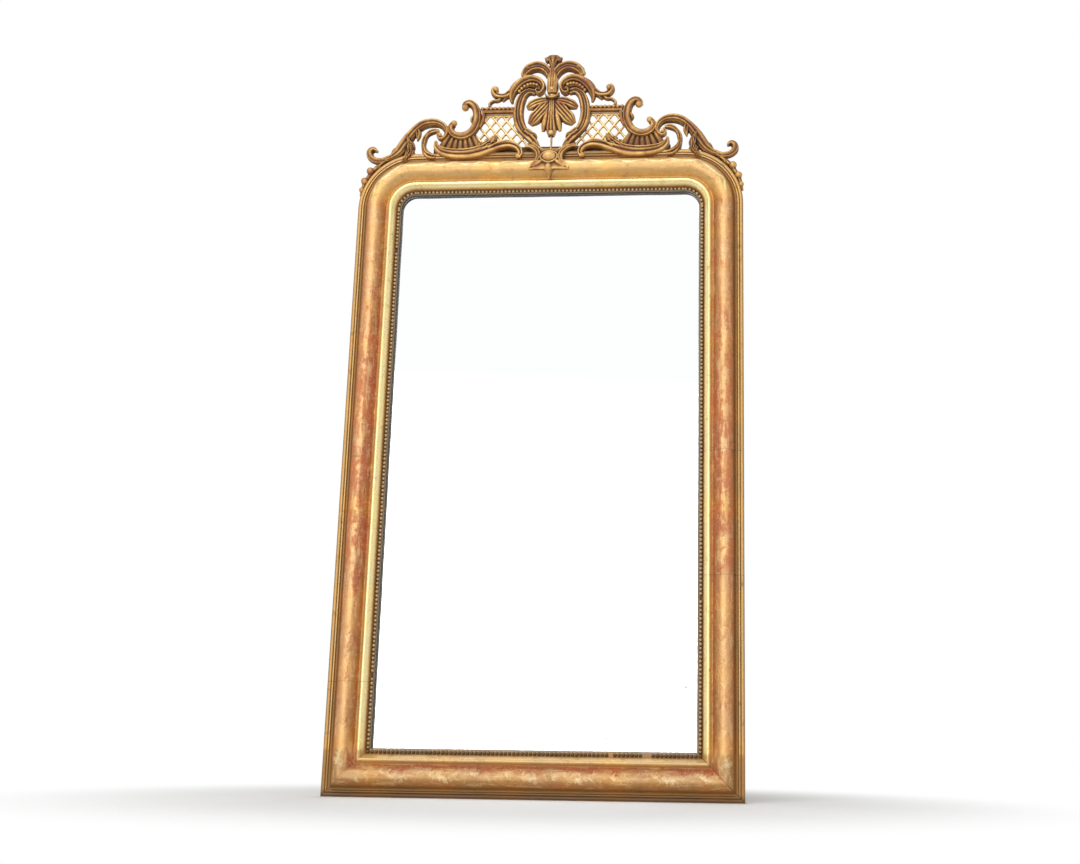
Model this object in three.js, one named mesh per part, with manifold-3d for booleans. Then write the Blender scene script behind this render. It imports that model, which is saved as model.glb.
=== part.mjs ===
// Gilt pier mirror: a moulded frame with rounded top corners, pearl courses round the glass and a
// pierced, carved crest. Millimetres, +Z up, the front faces -Y. The origin is on the underside of
// the bottom rail, halfway between the two sides and halfway through the outer edge.
import * as THREE from "three";
import { mergeVertices } from "three/addons/utils/BufferGeometryUtils.js";
import Module from "manifold-3d";

const wasm = await Module();
wasm.setup();

// Frame
const frameWidth = 980;
const frameHeight = 1598; // underside of the bottom rail to the top of the top rail
const mouldingWidth = 110; // outer edge to sight edge
const sideDepth = 45; // back face to the front of the outer fillet
const crownDepth = 68; // back face to the highest line of the moulding
const innerBeadDepth = 53; // back face to the top of the burnished inner bead
const lipDepth = 28; // back face to the front of the sight edge
const pearlSeatDepth = 31;
const outerFilletWidth = 8.5;
const outerBeadWidth = 5.6;
const coveWidth = 8.5;
const hollowWidth = 8;
const innerBeadWidth = 12;
const slopeWidth = 7;
const pearlSeatWidth = 10.5;
const lipWidth = 2;
const cornerRadius = 147; // outer radius of the two top corners
const cornerSteps = 7;
const clearance = 0.3;

// Glass and back
const rebateWidth = 10;
const rebateDepth = 20;
const glassThickness = 4;
const glassLap = 8;
const glassFilletWidth = 7;
const boardThickness = 8;
const boardInset = 1;
const boardCount = 6;
const boardGap = 0.6;

// Pearls
const pearlPitch = 9.8;
const pearlWidth = 9;
const pearlHeight = 5.2;
const pearlBase = 0.8; // thickness of the strip that carries the pearls
const pearlFootStep = 12; // pearls to each facet of the strip's foot on a straight course

// Crest
const crestRailLength = 612;
const crestRailHeight = 20;
const ornamentDepth = 29.6; // back face of the frame to the flat backs of the carvings
const latticeThickness = 5;
const latticeBarWidth = 4.5;
const latticePitch = 28; // between parallel bars, measured along the top bar
const latticeAngle = 51; // degrees, of the bars to the top bar
const latticeTop = 112; // above the top rail
const latticeEnd = 186; // outer end of its top bar, from the middle of the frame
const strapWidth = 20;
const strapThickness = 3;
const strapLength = 88;
const strapOffset = 120; // from the middle of the frame

// Hangers
const hangerHeight = 1290; // height of the two ring pivots
const hangerInset = 52; // from the outer edge of the frame to the middle of the plate
const hangerPlateWidth = 26;
const hangerPlateLength = 70;
const hangerPlateThickness = 2.5;
const hangerEyeWidth = 11;
const hangerEyeRadius = 5.4;
const ringWire = 5.5;
const ringClearance = 0.45;
const ringHalfWidth = 20;
const ringDrop = 34;

const backPlane = sideDepth / 2;
const crestDatum = frameHeight;
const pearlLine = mouldingWidth - lipWidth - pearlSeatWidth / 2;
const pearlOuter = pearlLine - pearlWidth / 2;
const pearlInner = pearlLine + pearlWidth / 2;

const giltColour = { color: 0xb8893a, roughness: 0.38, metalness: 0.75 };
const finishes = {
  gilt: giltColour,
  pearl: { ...giltColour, color: 0x8f6a30 },
  glass: { color: 0xe8ecec, roughness: 0.03, metalness: 1 },
  pine: { color: 0x9a7448, roughness: 0.8, metalness: 0 },
  iron: { color: 0x4a4642, roughness: 0.6, metalness: 0.8 },
};

const mirror = new THREE.Group();

function addPart(name, solid, finish) {
  const mesh = new THREE.Mesh(toGeometry(solid), new THREE.MeshStandardMaterial(finishes[finish]));
  mesh.name = name;
  mirror.add(mesh);
}

// ---- Solids -------------------------------------------------------------------------------------

function toSolid(geometry) {
  const bare = geometry.clone();
  for (const name of ["normal", "uv"]) {
    bare.deleteAttribute(name);
  }
  const merged = mergeVertices(bare, 1e-4);
  return new wasm.Manifold(
    new wasm.Mesh({
      numProp: 3,
      vertProperties: new Float32Array(merged.attributes.position.array),
      triVerts: new Uint32Array(merged.index.array),
    }),
  );
}

function toGeometry(solid) {
  const mesh = solid.getMesh();
  const geometry = new THREE.BufferGeometry();
  geometry.setAttribute("position", new THREE.BufferAttribute(mesh.vertProperties, mesh.numProp));
  geometry.setIndex(new THREE.BufferAttribute(mesh.triVerts, 1));
  return geometry;
}

function join(...solids) {
  return solids.reduce((whole, solid) => whole.add(solid));
}

function reflect(solid) {
  return solid.mirror([1, 0, 0]);
}

function largestBody(solid) {
  return solid.decompose().reduce((best, body) => (body.volume() > best.volume() ? body : best));
}

// The same body with its faces moved out by the working clearance, to cut its seat in a neighbour
function swell(solid) {
  const geometry = toGeometry(solid);
  const { position } = geometry.attributes;
  const facings = Array.from({ length: position.count }, () => []);
  const triangle = new THREE.Triangle();
  for (let i = 0; i < geometry.index.count; i += 3) {
    const corners = [0, 1, 2].map((j) => geometry.index.getX(i + j));
    triangle.setFromAttributeAndIndices(position, ...corners);
    const facing = triangle.getNormal(new THREE.Vector3());
    for (const corner of corners) {
      if (!facings[corner].some((known) => known.dot(facing) > 0.999)) {
        facings[corner].push(facing);
      }
    }
  }
  facings.forEach((normals, i) => {
    const outward = normals.reduce((sum, normal) => sum.add(normal), new THREE.Vector3()).normalize();
    const least = Math.min(...normals.map((normal) => normal.dot(outward)));
    const growth = clearance / Math.max(least, 0.35);
    const moved = new THREE.Vector3().fromBufferAttribute(position, i);
    moved.addScaledVector(outward, growth);
    position.setXYZ(i, moved.x, moved.y, moved.z);
  });
  return toSolid(geometry);
}

function fitTo(solid, ...neighbours) {
  return largestBody(neighbours.reduce((rest, other) => rest.subtract(swell(other)), solid));
}

// A closed body through rings of points; outline is the flat form of a ring, used to cap the ends
function loft(rings, outline, endless = false) {
  const count = outline.length;
  const index = [];
  const spans = endless ? rings.length : rings.length - 1;
  for (let i = 0; i < spans; i += 1) {
    const near = i * count;
    const far = ((i + 1) % rings.length) * count;
    for (let j = 0; j < count; j += 1) {
      const k = (j + 1) % count;
      index.push(near + j, near + k, far + k, near + j, far + k, far + j);
    }
  }
  if (!endless) {
    const last = (rings.length - 1) * count;
    const clockwise = THREE.ShapeUtils.isClockWise(outline);
    for (const face of THREE.ShapeUtils.triangulateShape(outline, [])) {
      const [a, b, c] = clockwise ? face.toReversed() : face;
      index.push(c, b, a, last + a, last + b, last + c);
    }
  }
  return closedSolid(rings.flat(), index);
}

// A solid from points and triangles, turned so that its faces point outwards
function closedSolid(points, index) {
  let volume = 0;
  for (let i = 0; i < index.length; i += 3) {
    const [a, b, c] = index.slice(i, i + 3).map((j) => points[j]);
    volume += a.dot(b.clone().cross(c)) / 6;
  }
  const outward = volume > 0 ? index : index.toReversed();
  return toSolid(new THREE.BufferGeometry().setFromPoints(points).setIndex(outward));
}

function box(width, depth, height, x, y, z) {
  return toSolid(new THREE.BoxGeometry(width, depth, height).translate(x, y, z));
}

// A flat plate of a shape drawn in x and z, from its back at depth `back` to `back + thickness`
function plate(shape, back, thickness) {
  const options = { depth: thickness, bevelEnabled: false, curveSegments: 5 };
  const geometry = new THREE.ExtrudeGeometry(shape, options);
  return toSolid(geometry.rotateX(Math.PI / 2).translate(0, backPlane - back, 0));
}

function outlineShape(points) {
  return new THREE.Shape(points.map(([x, z]) => new THREE.Vector2(x, crestDatum + z)));
}

// Places given by their distance in from the right side of the frame
function fromSide(points) {
  return points.map(([inset, z]) => [frameWidth / 2 - inset, z]);
}

// ---- Moulding -----------------------------------------------------------------------------------

// Section of the frame: x runs from the outer edge towards the glass, y from the back to the front
function mouldingSection() {
  const coveStart = outerFilletWidth + 1 + outerBeadWidth;
  const crownStart = coveStart + coveWidth;
  const seatStart = mouldingWidth - lipWidth - pearlSeatWidth;
  const beadEnd = seatStart - slopeWidth;
  const beadStart = beadEnd - innerBeadWidth;
  const crownEnd = beadStart - hollowWidth;
  const crownMiddle = (crownStart + crownEnd) / 2;
  const rebateWall = mouldingWidth - rebateWidth;
  const line = new THREE.Path();
  line.moveTo(0, 0);
  line.lineTo(0, sideDepth - 2);
  line.lineTo(1.5, sideDepth);
  line.lineTo(outerFilletWidth, sideDepth);
  line.lineTo(outerFilletWidth + 1, sideDepth - 2.5);
  line.bezierCurveTo(
    outerFilletWidth + 1, sideDepth + 2.2,
    coveStart, sideDepth + 2.2,
    coveStart, sideDepth - 2,
  );
  line.quadraticCurveTo(coveStart + 0.7 * coveWidth, sideDepth - 5, crownStart, sideDepth + 3);
  line.bezierCurveTo(
    crownStart + 5, crownDepth - 5,
    crownMiddle - 10, crownDepth,
    crownMiddle, crownDepth,
  );
  line.bezierCurveTo(
    crownMiddle + 11, crownDepth,
    crownEnd - 4, crownDepth - 9,
    crownEnd, innerBeadDepth - 3,
  );
  line.quadraticCurveTo(crownEnd + 0.4 * hollowWidth, innerBeadDepth - 12, beadStart, innerBeadDepth - 6);
  line.bezierCurveTo(
    beadStart + 2, innerBeadDepth + 1,
    beadEnd - 2, innerBeadDepth + 2,
    beadEnd, innerBeadDepth - 7,
  );
  line.lineTo(seatStart - 0.5, pearlSeatDepth + 5);
  line.lineTo(seatStart, pearlSeatDepth);
  line.lineTo(mouldingWidth - lipWidth, pearlSeatDepth);
  line.lineTo(mouldingWidth, lipDepth);
  line.lineTo(mouldingWidth, rebateDepth);
  line.lineTo(rebateWall, rebateDepth);
  line.lineTo(rebateWall, 0);
  return line.getPoints(3);
}

const section = mouldingSection();

// One ring of the section, where place(u) gives the x and z of a point u in from the outer edge
function sectionRing(place) {
  return section.map((point) => {
    const [x, z] = place(point.x);
    return new THREE.Vector3(x, backPlane - point.y, z);
  });
}

function stile() {
  const mitreGap = clearance * Math.SQRT2;
  const top = frameHeight - cornerRadius - clearance;
  const foot = sectionRing((u) => [frameWidth / 2 - u, u + mitreGap]);
  const head = sectionRing((u) => [frameWidth / 2 - u, top]);
  return loft([foot, head], section);
}

function bottomRail() {
  const left = sectionRing((u) => [u - frameWidth / 2, u]);
  const right = sectionRing((u) => [frameWidth / 2 - u, u]);
  return loft([left, right], section);
}

function topRail() {
  const end = frameWidth / 2 - cornerRadius - clearance;
  const left = sectionRing((u) => [-end, frameHeight - u]);
  const right = sectionRing((u) => [end, frameHeight - u]);
  return loft([left, right], section);
}

function cornerBlock() {
  const rings = [];
  for (let i = 0; i <= cornerSteps; i += 1) {
    const angle = (i / cornerSteps) * (Math.PI / 2);
    rings.push(sectionRing((u) => cornerPoint(cornerRadius - u, angle)));
  }
  return loft(rings, section);
}

// A point at this radius round the centre of the top right corner
function cornerPoint(radius, angle) {
  return [
    frameWidth / 2 - cornerRadius + radius * Math.cos(angle),
    frameHeight - cornerRadius + radius * Math.sin(angle),
  ];
}

const rightStile = stile();
const topRailSolid = topRail();
const rightCorner = cornerBlock();

addPart("left_stile", reflect(rightStile), "gilt");
addPart("right_stile", rightStile, "gilt");
addPart("bottom_rail", bottomRail(), "gilt");
addPart("top_rail", topRailSolid, "gilt");
addPart("top_left_corner", reflect(rightCorner), "gilt");
addPart("top_right_corner", rightCorner, "gilt");

// ---- Pearl courses ------------------------------------------------------------------------------

// A strip of pearls. Each station has the two edge points of the strip, [x, z], outer one first.
// The foot of the strip has a corner at every footStep stations, and at every one where it bends
function pearlCourse(stations, footStep) {
  const points = [];
  const index = [];
  const seat = backPlane - pearlSeatDepth - clearance;
  const point = ([x, z], height) => points.push(new THREE.Vector3(x, seat - height, z)) - 1;
  const outerTop = stations.map(([outer]) => point(outer, pearlBase));
  const innerTop = stations.map(([, inner]) => point(inner, pearlBase));
  const last = stations.length - 1;
  for (let i = 0; i < last; i += 1) {
    const corners = [...stations[i], ...stations[i + 1]];
    const middle = [0, 1].map((axis) => corners.reduce((sum, corner) => sum + corner[axis], 0) / 4);
    const crown = point(middle, pearlHeight);
    index.push(outerTop[i], innerTop[i], crown, innerTop[i], innerTop[i + 1], crown);
    index.push(innerTop[i + 1], outerTop[i + 1], crown, outerTop[i + 1], outerTop[i], crown);
  }
  const foot = (i) => stations[i].map((edge) => point(edge, 0));
  const firstFoot = foot(0);
  let near = firstFoot;
  for (let start = 0; start < last; start += footStep) {
    const end = Math.min(start + footStep, last);
    const far = foot(end);
    for (let i = start; i < end; i += 1) {
      index.push(near[0], outerTop[i], outerTop[i + 1], near[1], innerTop[i + 1], innerTop[i]);
    }
    index.push(near[0], outerTop[end], far[0], near[1], far[1], innerTop[end]);
    index.push(near[1], near[0], far[0], near[1], far[0], far[1]);
    near = far;
  }
  index.push(firstFoot[0], firstFoot[1], innerTop[0], firstFoot[0], innerTop[0], outerTop[0]);
  index.push(near[1], near[0], outerTop[last], near[1], outerTop[last], innerTop[last]);
  return closedSolid(points, index);
}

function straightStations(length, place) {
  const count = Math.round(length / pearlPitch);
  const stations = [];
  for (let i = 0; i <= count; i += 1) {
    stations.push(place((i / count) * length));
  }
  return stations;
}

function sidePearls() {
  const foot = pearlInner + clearance;
  const length = frameHeight - cornerRadius - clearance - foot;
  const stations = straightStations(length, (s) => [
    [frameWidth / 2 - pearlOuter, foot + s],
    [frameWidth / 2 - pearlInner, foot + s],
  ]);
  return pearlCourse(stations, pearlFootStep);
}

function bottomPearls() {
  const length = frameWidth - 2 * pearlOuter;
  const stations = straightStations(length, (s) => [
    [s - length / 2, pearlOuter],
    [s - length / 2, pearlInner],
  ]);
  return pearlCourse(stations, pearlFootStep);
}

function topPearls() {
  const length = frameWidth - 2 * (cornerRadius + clearance);
  const stations = straightStations(length, (s) => [
    [s - length / 2, frameHeight - pearlOuter],
    [s - length / 2, frameHeight - pearlInner],
  ]);
  return pearlCourse(stations, pearlFootStep);
}

function cornerPearls() {
  const radius = cornerRadius - pearlLine;
  const count = Math.round((radius * Math.PI) / 2 / pearlPitch);
  const stations = [];
  for (let i = 0; i <= count; i += 1) {
    const angle = (i / count) * (Math.PI / 2);
    stations.push([
      cornerPoint(cornerRadius - pearlOuter, angle),
      cornerPoint(cornerRadius - pearlInner, angle),
    ]);
  }
  return pearlCourse(stations, 1);
}

const rightPearls = sidePearls();
const rightCornerPearls = cornerPearls();
addPart("pearls_left", reflect(rightPearls), "pearl");
addPart("pearls_right", rightPearls, "pearl");
addPart("pearls_bottom", bottomPearls(), "pearl");
addPart("pearls_top", topPearls(), "pearl");
addPart("pearls_top_left_corner", reflect(rightCornerPearls), "pearl");
addPart("pearls_top_right_corner", rightCornerPearls, "pearl");

// ---- Glass and back -----------------------------------------------------------------------------

// A panel inset from the outer edge of the frame, whose top corners follow the corner blocks
function roundedPanel(inset, bottom, top, rounded) {
  const half = frameWidth / 2 - inset;
  const radius = cornerRadius - inset;
  const shape = new THREE.Shape();
  shape.moveTo(-half, bottom);
  shape.lineTo(half, bottom);
  if (rounded) {
    shape.lineTo(half, top - radius);
    shape.absarc(half - radius, top - radius, radius, 0, Math.PI / 2, false);
    shape.lineTo(radius - half, top);
    shape.absarc(radius - half, top - radius, radius, Math.PI / 2, Math.PI, false);
  } else {
    shape.lineTo(half, top);
    shape.lineTo(-half, top);
  }
  return shape;
}

function mirrorGlass() {
  const inset = mouldingWidth - glassLap;
  const back = rebateDepth - clearance - glassThickness;
  return plate(roundedPanel(inset, inset, frameHeight - inset, true), back, glassThickness);
}

addPart("mirror_glass", mirrorGlass(), "glass");

const glassBack = rebateDepth - clearance - glassThickness;
const boardFront = boardInset + boardThickness;
const glassFilletDepth = glassBack - boardFront - 2 * clearance;
const glassFilletY = backPlane - (boardFront + clearance + glassFilletDepth / 2);
const glassFilletLine = mouldingWidth - rebateWidth + clearance + glassFilletWidth / 2;

function sideGlassFillet() {
  const foot = glassFilletLine + glassFilletWidth / 2 + clearance;
  const top = frameHeight - cornerRadius;
  const x = frameWidth / 2 - glassFilletLine;
  return box(glassFilletWidth, glassFilletDepth, top - foot, x, glassFilletY, (top + foot) / 2);
}

function railGlassFillet(z, length) {
  return box(length, glassFilletDepth, glassFilletWidth, 0, glassFilletY, z);
}

const bottomFilletLength = frameWidth - 2 * (mouldingWidth - rebateWidth + clearance);
addPart("glass_fillet_left", reflect(sideGlassFillet()), "pine");
addPart("glass_fillet_right", sideGlassFillet(), "pine");
addPart("glass_fillet_bottom", railGlassFillet(glassFilletLine, bottomFilletLength), "pine");
addPart(
  "glass_fillet_top",
  railGlassFillet(frameHeight - glassFilletLine, frameWidth - 2 * cornerRadius),
  "pine",
);

function backBoards() {
  const inset = mouldingWidth - rebateWidth + clearance;
  const height = (frameHeight - 2 * inset - boardGap * (boardCount - 1)) / boardCount;
  for (let i = 0; i < boardCount; i += 1) {
    const bottom = inset + i * (height + boardGap);
    const shape = roundedPanel(inset, bottom, bottom + height, i === boardCount - 1);
    addPart(`back_board_${i + 1}`, plate(shape, boardInset, boardThickness), "pine");
  }
}

backBoards();

// ---- Crest --------------------------------------------------------------------------------------
// Places in the crest are [x, z] with z counted up from the top of the top rail. The right half is
// drawn and the left half is its reflection.

const rounded = [[-1, 0], [1, 0], [0.84, 0.6], [0, 1], [-0.84, 0.6]];
const channelled = [[-1, 0], [1, 0], [1, 0.7], [0.62, 1], [0, 0.6], [-0.62, 1], [-1, 0.7]];

// Value at t of a list of values spread evenly from 0 to 1
function along(values, t) {
  const place = t * (values.length - 1);
  const i = Math.min(Math.floor(place), values.length - 2);
  return values[i] + (values[i + 1] - values[i]) * (place - i);
}

// A carved band along a curve: flat at the back, with its half-width and relief given along it
function band({ path, halfWidth, relief, steps = 12, profile = rounded, back = ornamentDepth }) {
  const knots = path.map(([x, z]) => new THREE.Vector3(x, 0, crestDatum + z));
  const curve = new THREE.CatmullRomCurve3(knots, false, "centripetal");
  const rings = [];
  for (let i = 0; i <= steps; i += 1) {
    const t = i / steps;
    const middle = curve.getPointAt(t);
    const heading = curve.getTangentAt(t);
    const side = new THREE.Vector3(-heading.z, 0, heading.x).multiplyScalar(along(halfWidth, t));
    const height = along(relief, t);
    rings.push(profile.map(([across, up]) => {
      const point = middle.clone().addScaledVector(side, across);
      point.y = backPlane - back - up * height;
      return point;
    }));
  }
  const outline = profile.map(([across, up]) => new THREE.Vector2(across, up));
  return loft(rings, outline);
}

function ball(radius, [x, z], lift = 0) {
  const sphere = new THREE.SphereGeometry(radius, 7, 5).rotateX(Math.PI / 2);
  return toSolid(sphere.translate(x, backPlane - ornamentDepth - lift - radius, crestDatum + z));
}

// Rail that the carvings are fixed to, standing on the top rail
const crestRail = box(
  crestRailLength,
  ornamentDepth - clearance,
  crestRailHeight,
  0,
  backPlane - (ornamentDepth - clearance) / 2,
  crestDatum + clearance + crestRailHeight / 2,
);

// Each heart scroll has a ring round the shell and a hood that curls in beside the palmette
const heartScroll = join(
  band({
    path: [
      [44, 167], [60, 170], [74, 160], [82, 143], [86, 122], [86, 102], [82, 82], [73, 63],
      [58, 45], [43, 29], [34, 11],
    ],
    halfWidth: [7, 9, 12, 13, 13, 13, 12, 11, 10, 8],
    relief: [16, 18, 20, 20, 20, 19, 18, 18, 18, 14],
    steps: 12,
    profile: channelled,
  }),
  band({
    path: [
      [27, 167], [20, 180], [24, 194], [38, 203], [56, 205], [75, 199], [91, 186], [102, 170],
      [106, 153], [104, 138],
    ],
    halfWidth: [8, 9, 10, 11, 11, 12, 12, 10, 7, 3],
    relief: [16, 22, 25, 26, 26, 25, 22, 16],
    steps: 10,
  }),
  band({
    path: [[42, 184], [58, 187], [74, 180], [85, 166]],
    halfWidth: [6, 8, 8, 6],
    relief: [14, 16, 16, 14],
    steps: 4,
  }),
  ball(15, [36, 172]),
);

const archScroll = join(
  band({
    path: fromSide([
      [212, 44], [218, 58], [214, 74], [200, 85], [178, 88], [157, 83], [138, 69], [121, 49],
      [107, 26], [93, 6], [76, -7], [60, -13],
    ]),
    halfWidth: [8, 9, 10, 11, 11, 12, 14, 15, 15, 13, 9, 7],
    relief: [16, 20, 22, 22, 21, 20, 20, 20, 20, 18],
    steps: 14,
    profile: channelled,
  }),
  ...fromSide([[203, 51]]).map((place) => ball(12, place)),
  band({
    path: fromSide([[140, 72], [143, 56], [142, 38]]),
    halfWidth: [7, 7, 2],
    relief: [18, 16, 10],
    steps: 3,
  }),
  band({
    path: fromSide([[118, 46], [124, 26], [125, 5], [117, -12], [106, -22]]),
    halfWidth: [8, 12, 13, 12, 6],
    relief: [18, 20, 22, 25, 22],
    steps: 5,
  }),
);

const sideScroll = join(
  band({
    path: [
      [229, 127], [227, 138], [216, 141], [204, 134], [197, 121], [194, 106], [194, 90],
      [199, 73], [210, 58], [228, 49], [246, 51], [259, 61], [263, 74], [257, 85],
    ],
    halfWidth: [7, 9, 10, 11, 11, 11, 11, 11, 10, 8, 6],
    relief: [16, 20, 21, 21, 20, 20, 20, 16],
    steps: 15,
    profile: channelled,
  }),
  ball(11, [226, 127]),
  ball(9, [254, 84]),
);

const acanthus = join(
  band({
    path: [
      [299, 36], [297, 20], [286, 6], [268, -3], [240, -8], [210, -8], [178, -1], [152, 9],
      [128, 17], [104, 19], [84, 10], [77, -5], [84, -18],
    ],
    halfWidth: [4, 9, 12, 13, 14, 15, 14, 12, 10, 9, 8, 7],
    relief: [16, 22, 26, 28, 28, 28, 26, 26, 26, 24],
    steps: 16,
  }),
  band({
    path: [[182, 0], [162, 18], [150, 33], [141, 50]],
    halfWidth: [13, 14, 10, 11, 2],
    relief: [24, 24, 20, 12],
    steps: 5,
  }),
);

const innerLeaf = band({
  path: fromSide([[200, 66], [180, 64], [165, 51], [159, 30], [164, 9], [177, -6], [196, -11]]),
  halfWidth: [4, 7, 5, 7, 6, 9, 11, 7],
  relief: [14, 16, 16, 17, 20, 23, 22],
  steps: 11,
});

const endVolute = join(
  band({
    path: fromSide([
      [72, -7], [52, -16], [32, -13], [19, -1], [16, 13], [25, 22], [37, 19], [41, 9], [33, 3],
    ]),
    halfWidth: [8, 8, 8, 8, 7, 7, 6, 5],
    relief: [16, 18, 18, 18, 16, 16],
    steps: 10,
    profile: channelled,
  }),
  ...fromSide([[31, 7]]).map((place) => ball(7, place, 3)),
);

// Leaf and berries that follow the outside of the rounded corner
function berryCluster() {
  const place = (degrees, offset) => {
    const [x, z] = cornerPoint(cornerRadius + offset, THREE.MathUtils.degToRad(degrees));
    return [x, z - crestDatum];
  };
  const leaf = band({
    path: [place(56, 8), place(47, 8), place(37, 7), place(26, 5), place(14, 3)],
    halfWidth: [4, 7, 6, 7, 5, 3],
    relief: [12, 14, 14, 14, 10],
    steps: 8,
  });
  const berry = (radius, degrees, offset) => ball(radius, place(degrees, offset), 2);
  return join(leaf, berry(10, 38, 17), berry(9.5, 27.5, 13), berry(7, 19, 8.5));
}

const shoulderSprig = join(
  band({
    path: [[99, 181], [110, 168], [122, 159], [136, 159], [148, 163], [153, 175], [147, 183]],
    halfWidth: [6, 9, 9, 6, 8, 9, 7],
    relief: [16, 18, 18, 18, 18],
    steps: 9,
  }),
  band({
    path: [[116, 165], [124, 155], [129, 145]],
    halfWidth: [7, 7, 2],
    relief: [16, 14, 9],
    steps: 3,
  }),
  band({
    path: [[130, 156], [141, 148], [154, 147], [163, 139], [164, 130]],
    halfWidth: [4, 4.5, 4.5, 4],
    relief: [12, 14, 12],
    steps: 5,
  }),
);

// Petals of the shell, each from the collar to its tip
function petal(tip, halfWidth) {
  return band({
    path: [[0, 152], [tip[0] * 0.5, 152 + (tip[1] - 152) * 0.5], tip],
    halfWidth: [4, 0.5 * halfWidth, 0.85 * halfWidth, halfWidth, 0.5 * halfWidth],
    relief: [12, 15, 18, 17, 8],
    steps: 5,
  });
}

const shell = join(
  petal([64, 124], 15),
  petal([-64, 124], 15),
  petal([53, 80], 18),
  petal([-53, 80], 18),
  petal([0, 47], 22),
  band({ path: [[-20, 146], [0, 158], [20, 146]], halfWidth: [6, 8, 6], relief: [18, 22, 18], steps: 4 }),
  band({ path: [[0, 50], [0, 6]], halfWidth: [4, 4], relief: [12, 12], steps: 1 }),
);

const palmette = join(
  band({
    path: [[0, 158], [0, 200], [0, 246], [0, 275]],
    halfWidth: [10, 13, 15, 16, 15, 13, 11, 10, 9, 13, 19, 21, 8],
    relief: [24, 27, 26, 24, 22, 18, 12],
    steps: 12,
  }),
  ...[-1, 1].map((hand) => band({
    path: [[4 * hand, 208], [18 * hand, 231], [38 * hand, 241], [60 * hand, 235], [75 * hand, 217]],
    halfWidth: [11, 13, 14, 14, 10],
    relief: [22, 22, 21, 20, 16],
    steps: 7,
  })),
);

// Clasp that laps over the top rail; its front bulges over the crown of the moulding
function starClasp() {
  const half = [
    [28, 7], [43, 17], [68, 19], [68, 11], [46, 6], [34, -5], [29, -21], [36, -41], [54, -62],
    [30, -60], [13, -60],
  ];
  const foot = -80;
  const outline = [[0, 7], ...half, [0, foot], ...half.map(([x, z]) => [-x, z]).reverse()];
  const bulge = [
    [ornamentDepth, 20], [47, 20], [54, 4], [crownDepth - 4, -18], [crownDepth + 8, -38],
    [crownDepth + 8, -60], [crownDepth - 4, foot], [ornamentDepth, foot],
  ];
  const width = 2 * Math.max(...outline.map(([x]) => x));
  const side = new THREE.Shape(bulge.map(([depth, z]) => new THREE.Vector2(-depth, z)));
  const saddle = new THREE.ExtrudeGeometry(side, { depth: width, bevelEnabled: false });
  saddle.applyMatrix4(new THREE.Matrix4().set(
    0, 0, 1, -width / 2,
    1, 0, 0, backPlane,
    0, 1, 0, crestDatum,
    0, 0, 0, 1,
  ));
  return plate(outlineShape(outline), 0, 2 * crownDepth).intersect(toSolid(saddle));
}

const star = fitTo(starClasp(), topRailSolid, crestRail);
const shellFitted = fitTo(shell, star);
const heartRight = fitTo(heartScroll, star, shellFitted);
const heartLeft = reflect(heartRight);
const palmetteFitted = fitTo(palmette, heartRight, heartLeft, shellFitted);
const acanthusFitted = fitTo(acanthus, topRailSolid, rightCorner, star, heartRight);
const archFitted = fitTo(archScroll, topRailSolid, rightCorner, acanthusFitted);
const innerLeafFitted = fitTo(innerLeaf, topRailSolid, rightCorner, archFitted, acanthusFitted);
const voluteFitted = fitTo(endVolute, archFitted, rightCorner);
const berriesFitted = fitTo(berryCluster(), voluteFitted, rightCorner);
const sideScrollFitted = fitTo(sideScroll, archFitted, acanthusFitted);
const sprigFitted = fitTo(shoulderSprig, heartRight);

const cabochon = fitTo(
  toSolid(
    new THREE.SphereGeometry(17, 10, 6)
      .rotateX(Math.PI / 2)
      .scale(1, 0.7, 0.9)
      .translate(0, backPlane - crownDepth + 1, crestDatum - 24),
  ),
  star,
);

// Fan of gadroons under the side scroll
function gadroonFan() {
  const hub = [232, 103];
  const lobes = [-132, -118, -104, -90, -76, -62].map((degrees) => {
    const angle = THREE.MathUtils.degToRad(degrees);
    const reach = (radius) => [
      hub[0] + radius * Math.cos(angle),
      hub[1] + radius * Math.sin(angle),
    ];
    return band({
      path: [reach(54), reach(89)],
      halfWidth: [8, 11, 6],
      relief: [10, 16, 12],
      steps: 2,
    });
  });
  return fitTo(join(...lobes), sideScrollFitted, acanthusFitted, archFitted);
}

const fan = gadroonFan();

// Pierced lattice behind the carvings: crossed bars trimmed to the panel
function latticePanel() {
  const foot = crestRailHeight + 2 * clearance;
  const crossingHeight = 61; // of the row of crossings that the bars are set out from
  const firstBar = -49;
  const lastBar = latticeEnd + 150;
  const rimHeight = 7;
  const panel = outlineShape([
    [44, foot], [205, foot], [203, 56], [latticeEnd, 84], [latticeEnd, latticeTop],
    [90, latticeTop], [84, 82], [72, 58], [53, 38],
  ]);
  const depth = ornamentDepth - clearance - latticeThickness;
  const bars = [];
  for (let x = firstBar; x <= lastBar; x += latticePitch) {
    for (const hand of [-1, 1]) {
      const bar = new THREE.BoxGeometry(2 * latticeEnd, latticeThickness, latticeBarWidth);
      bar.rotateY(hand * THREE.MathUtils.degToRad(latticeAngle));
      bar.translate(x, backPlane - depth - latticeThickness / 2, crestDatum + crossingHeight);
      bars.push(toSolid(bar));
    }
  }
  const rimShape = outlineShape([
    [88, latticeTop - rimHeight], [latticeEnd, latticeTop - rimHeight],
    [latticeEnd, latticeTop], [90, latticeTop],
  ]);
  const rim = plate(rimShape, depth, latticeThickness);
  return largestBody(join(...bars).intersect(plate(panel, depth, latticeThickness)).add(rim));
}

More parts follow.
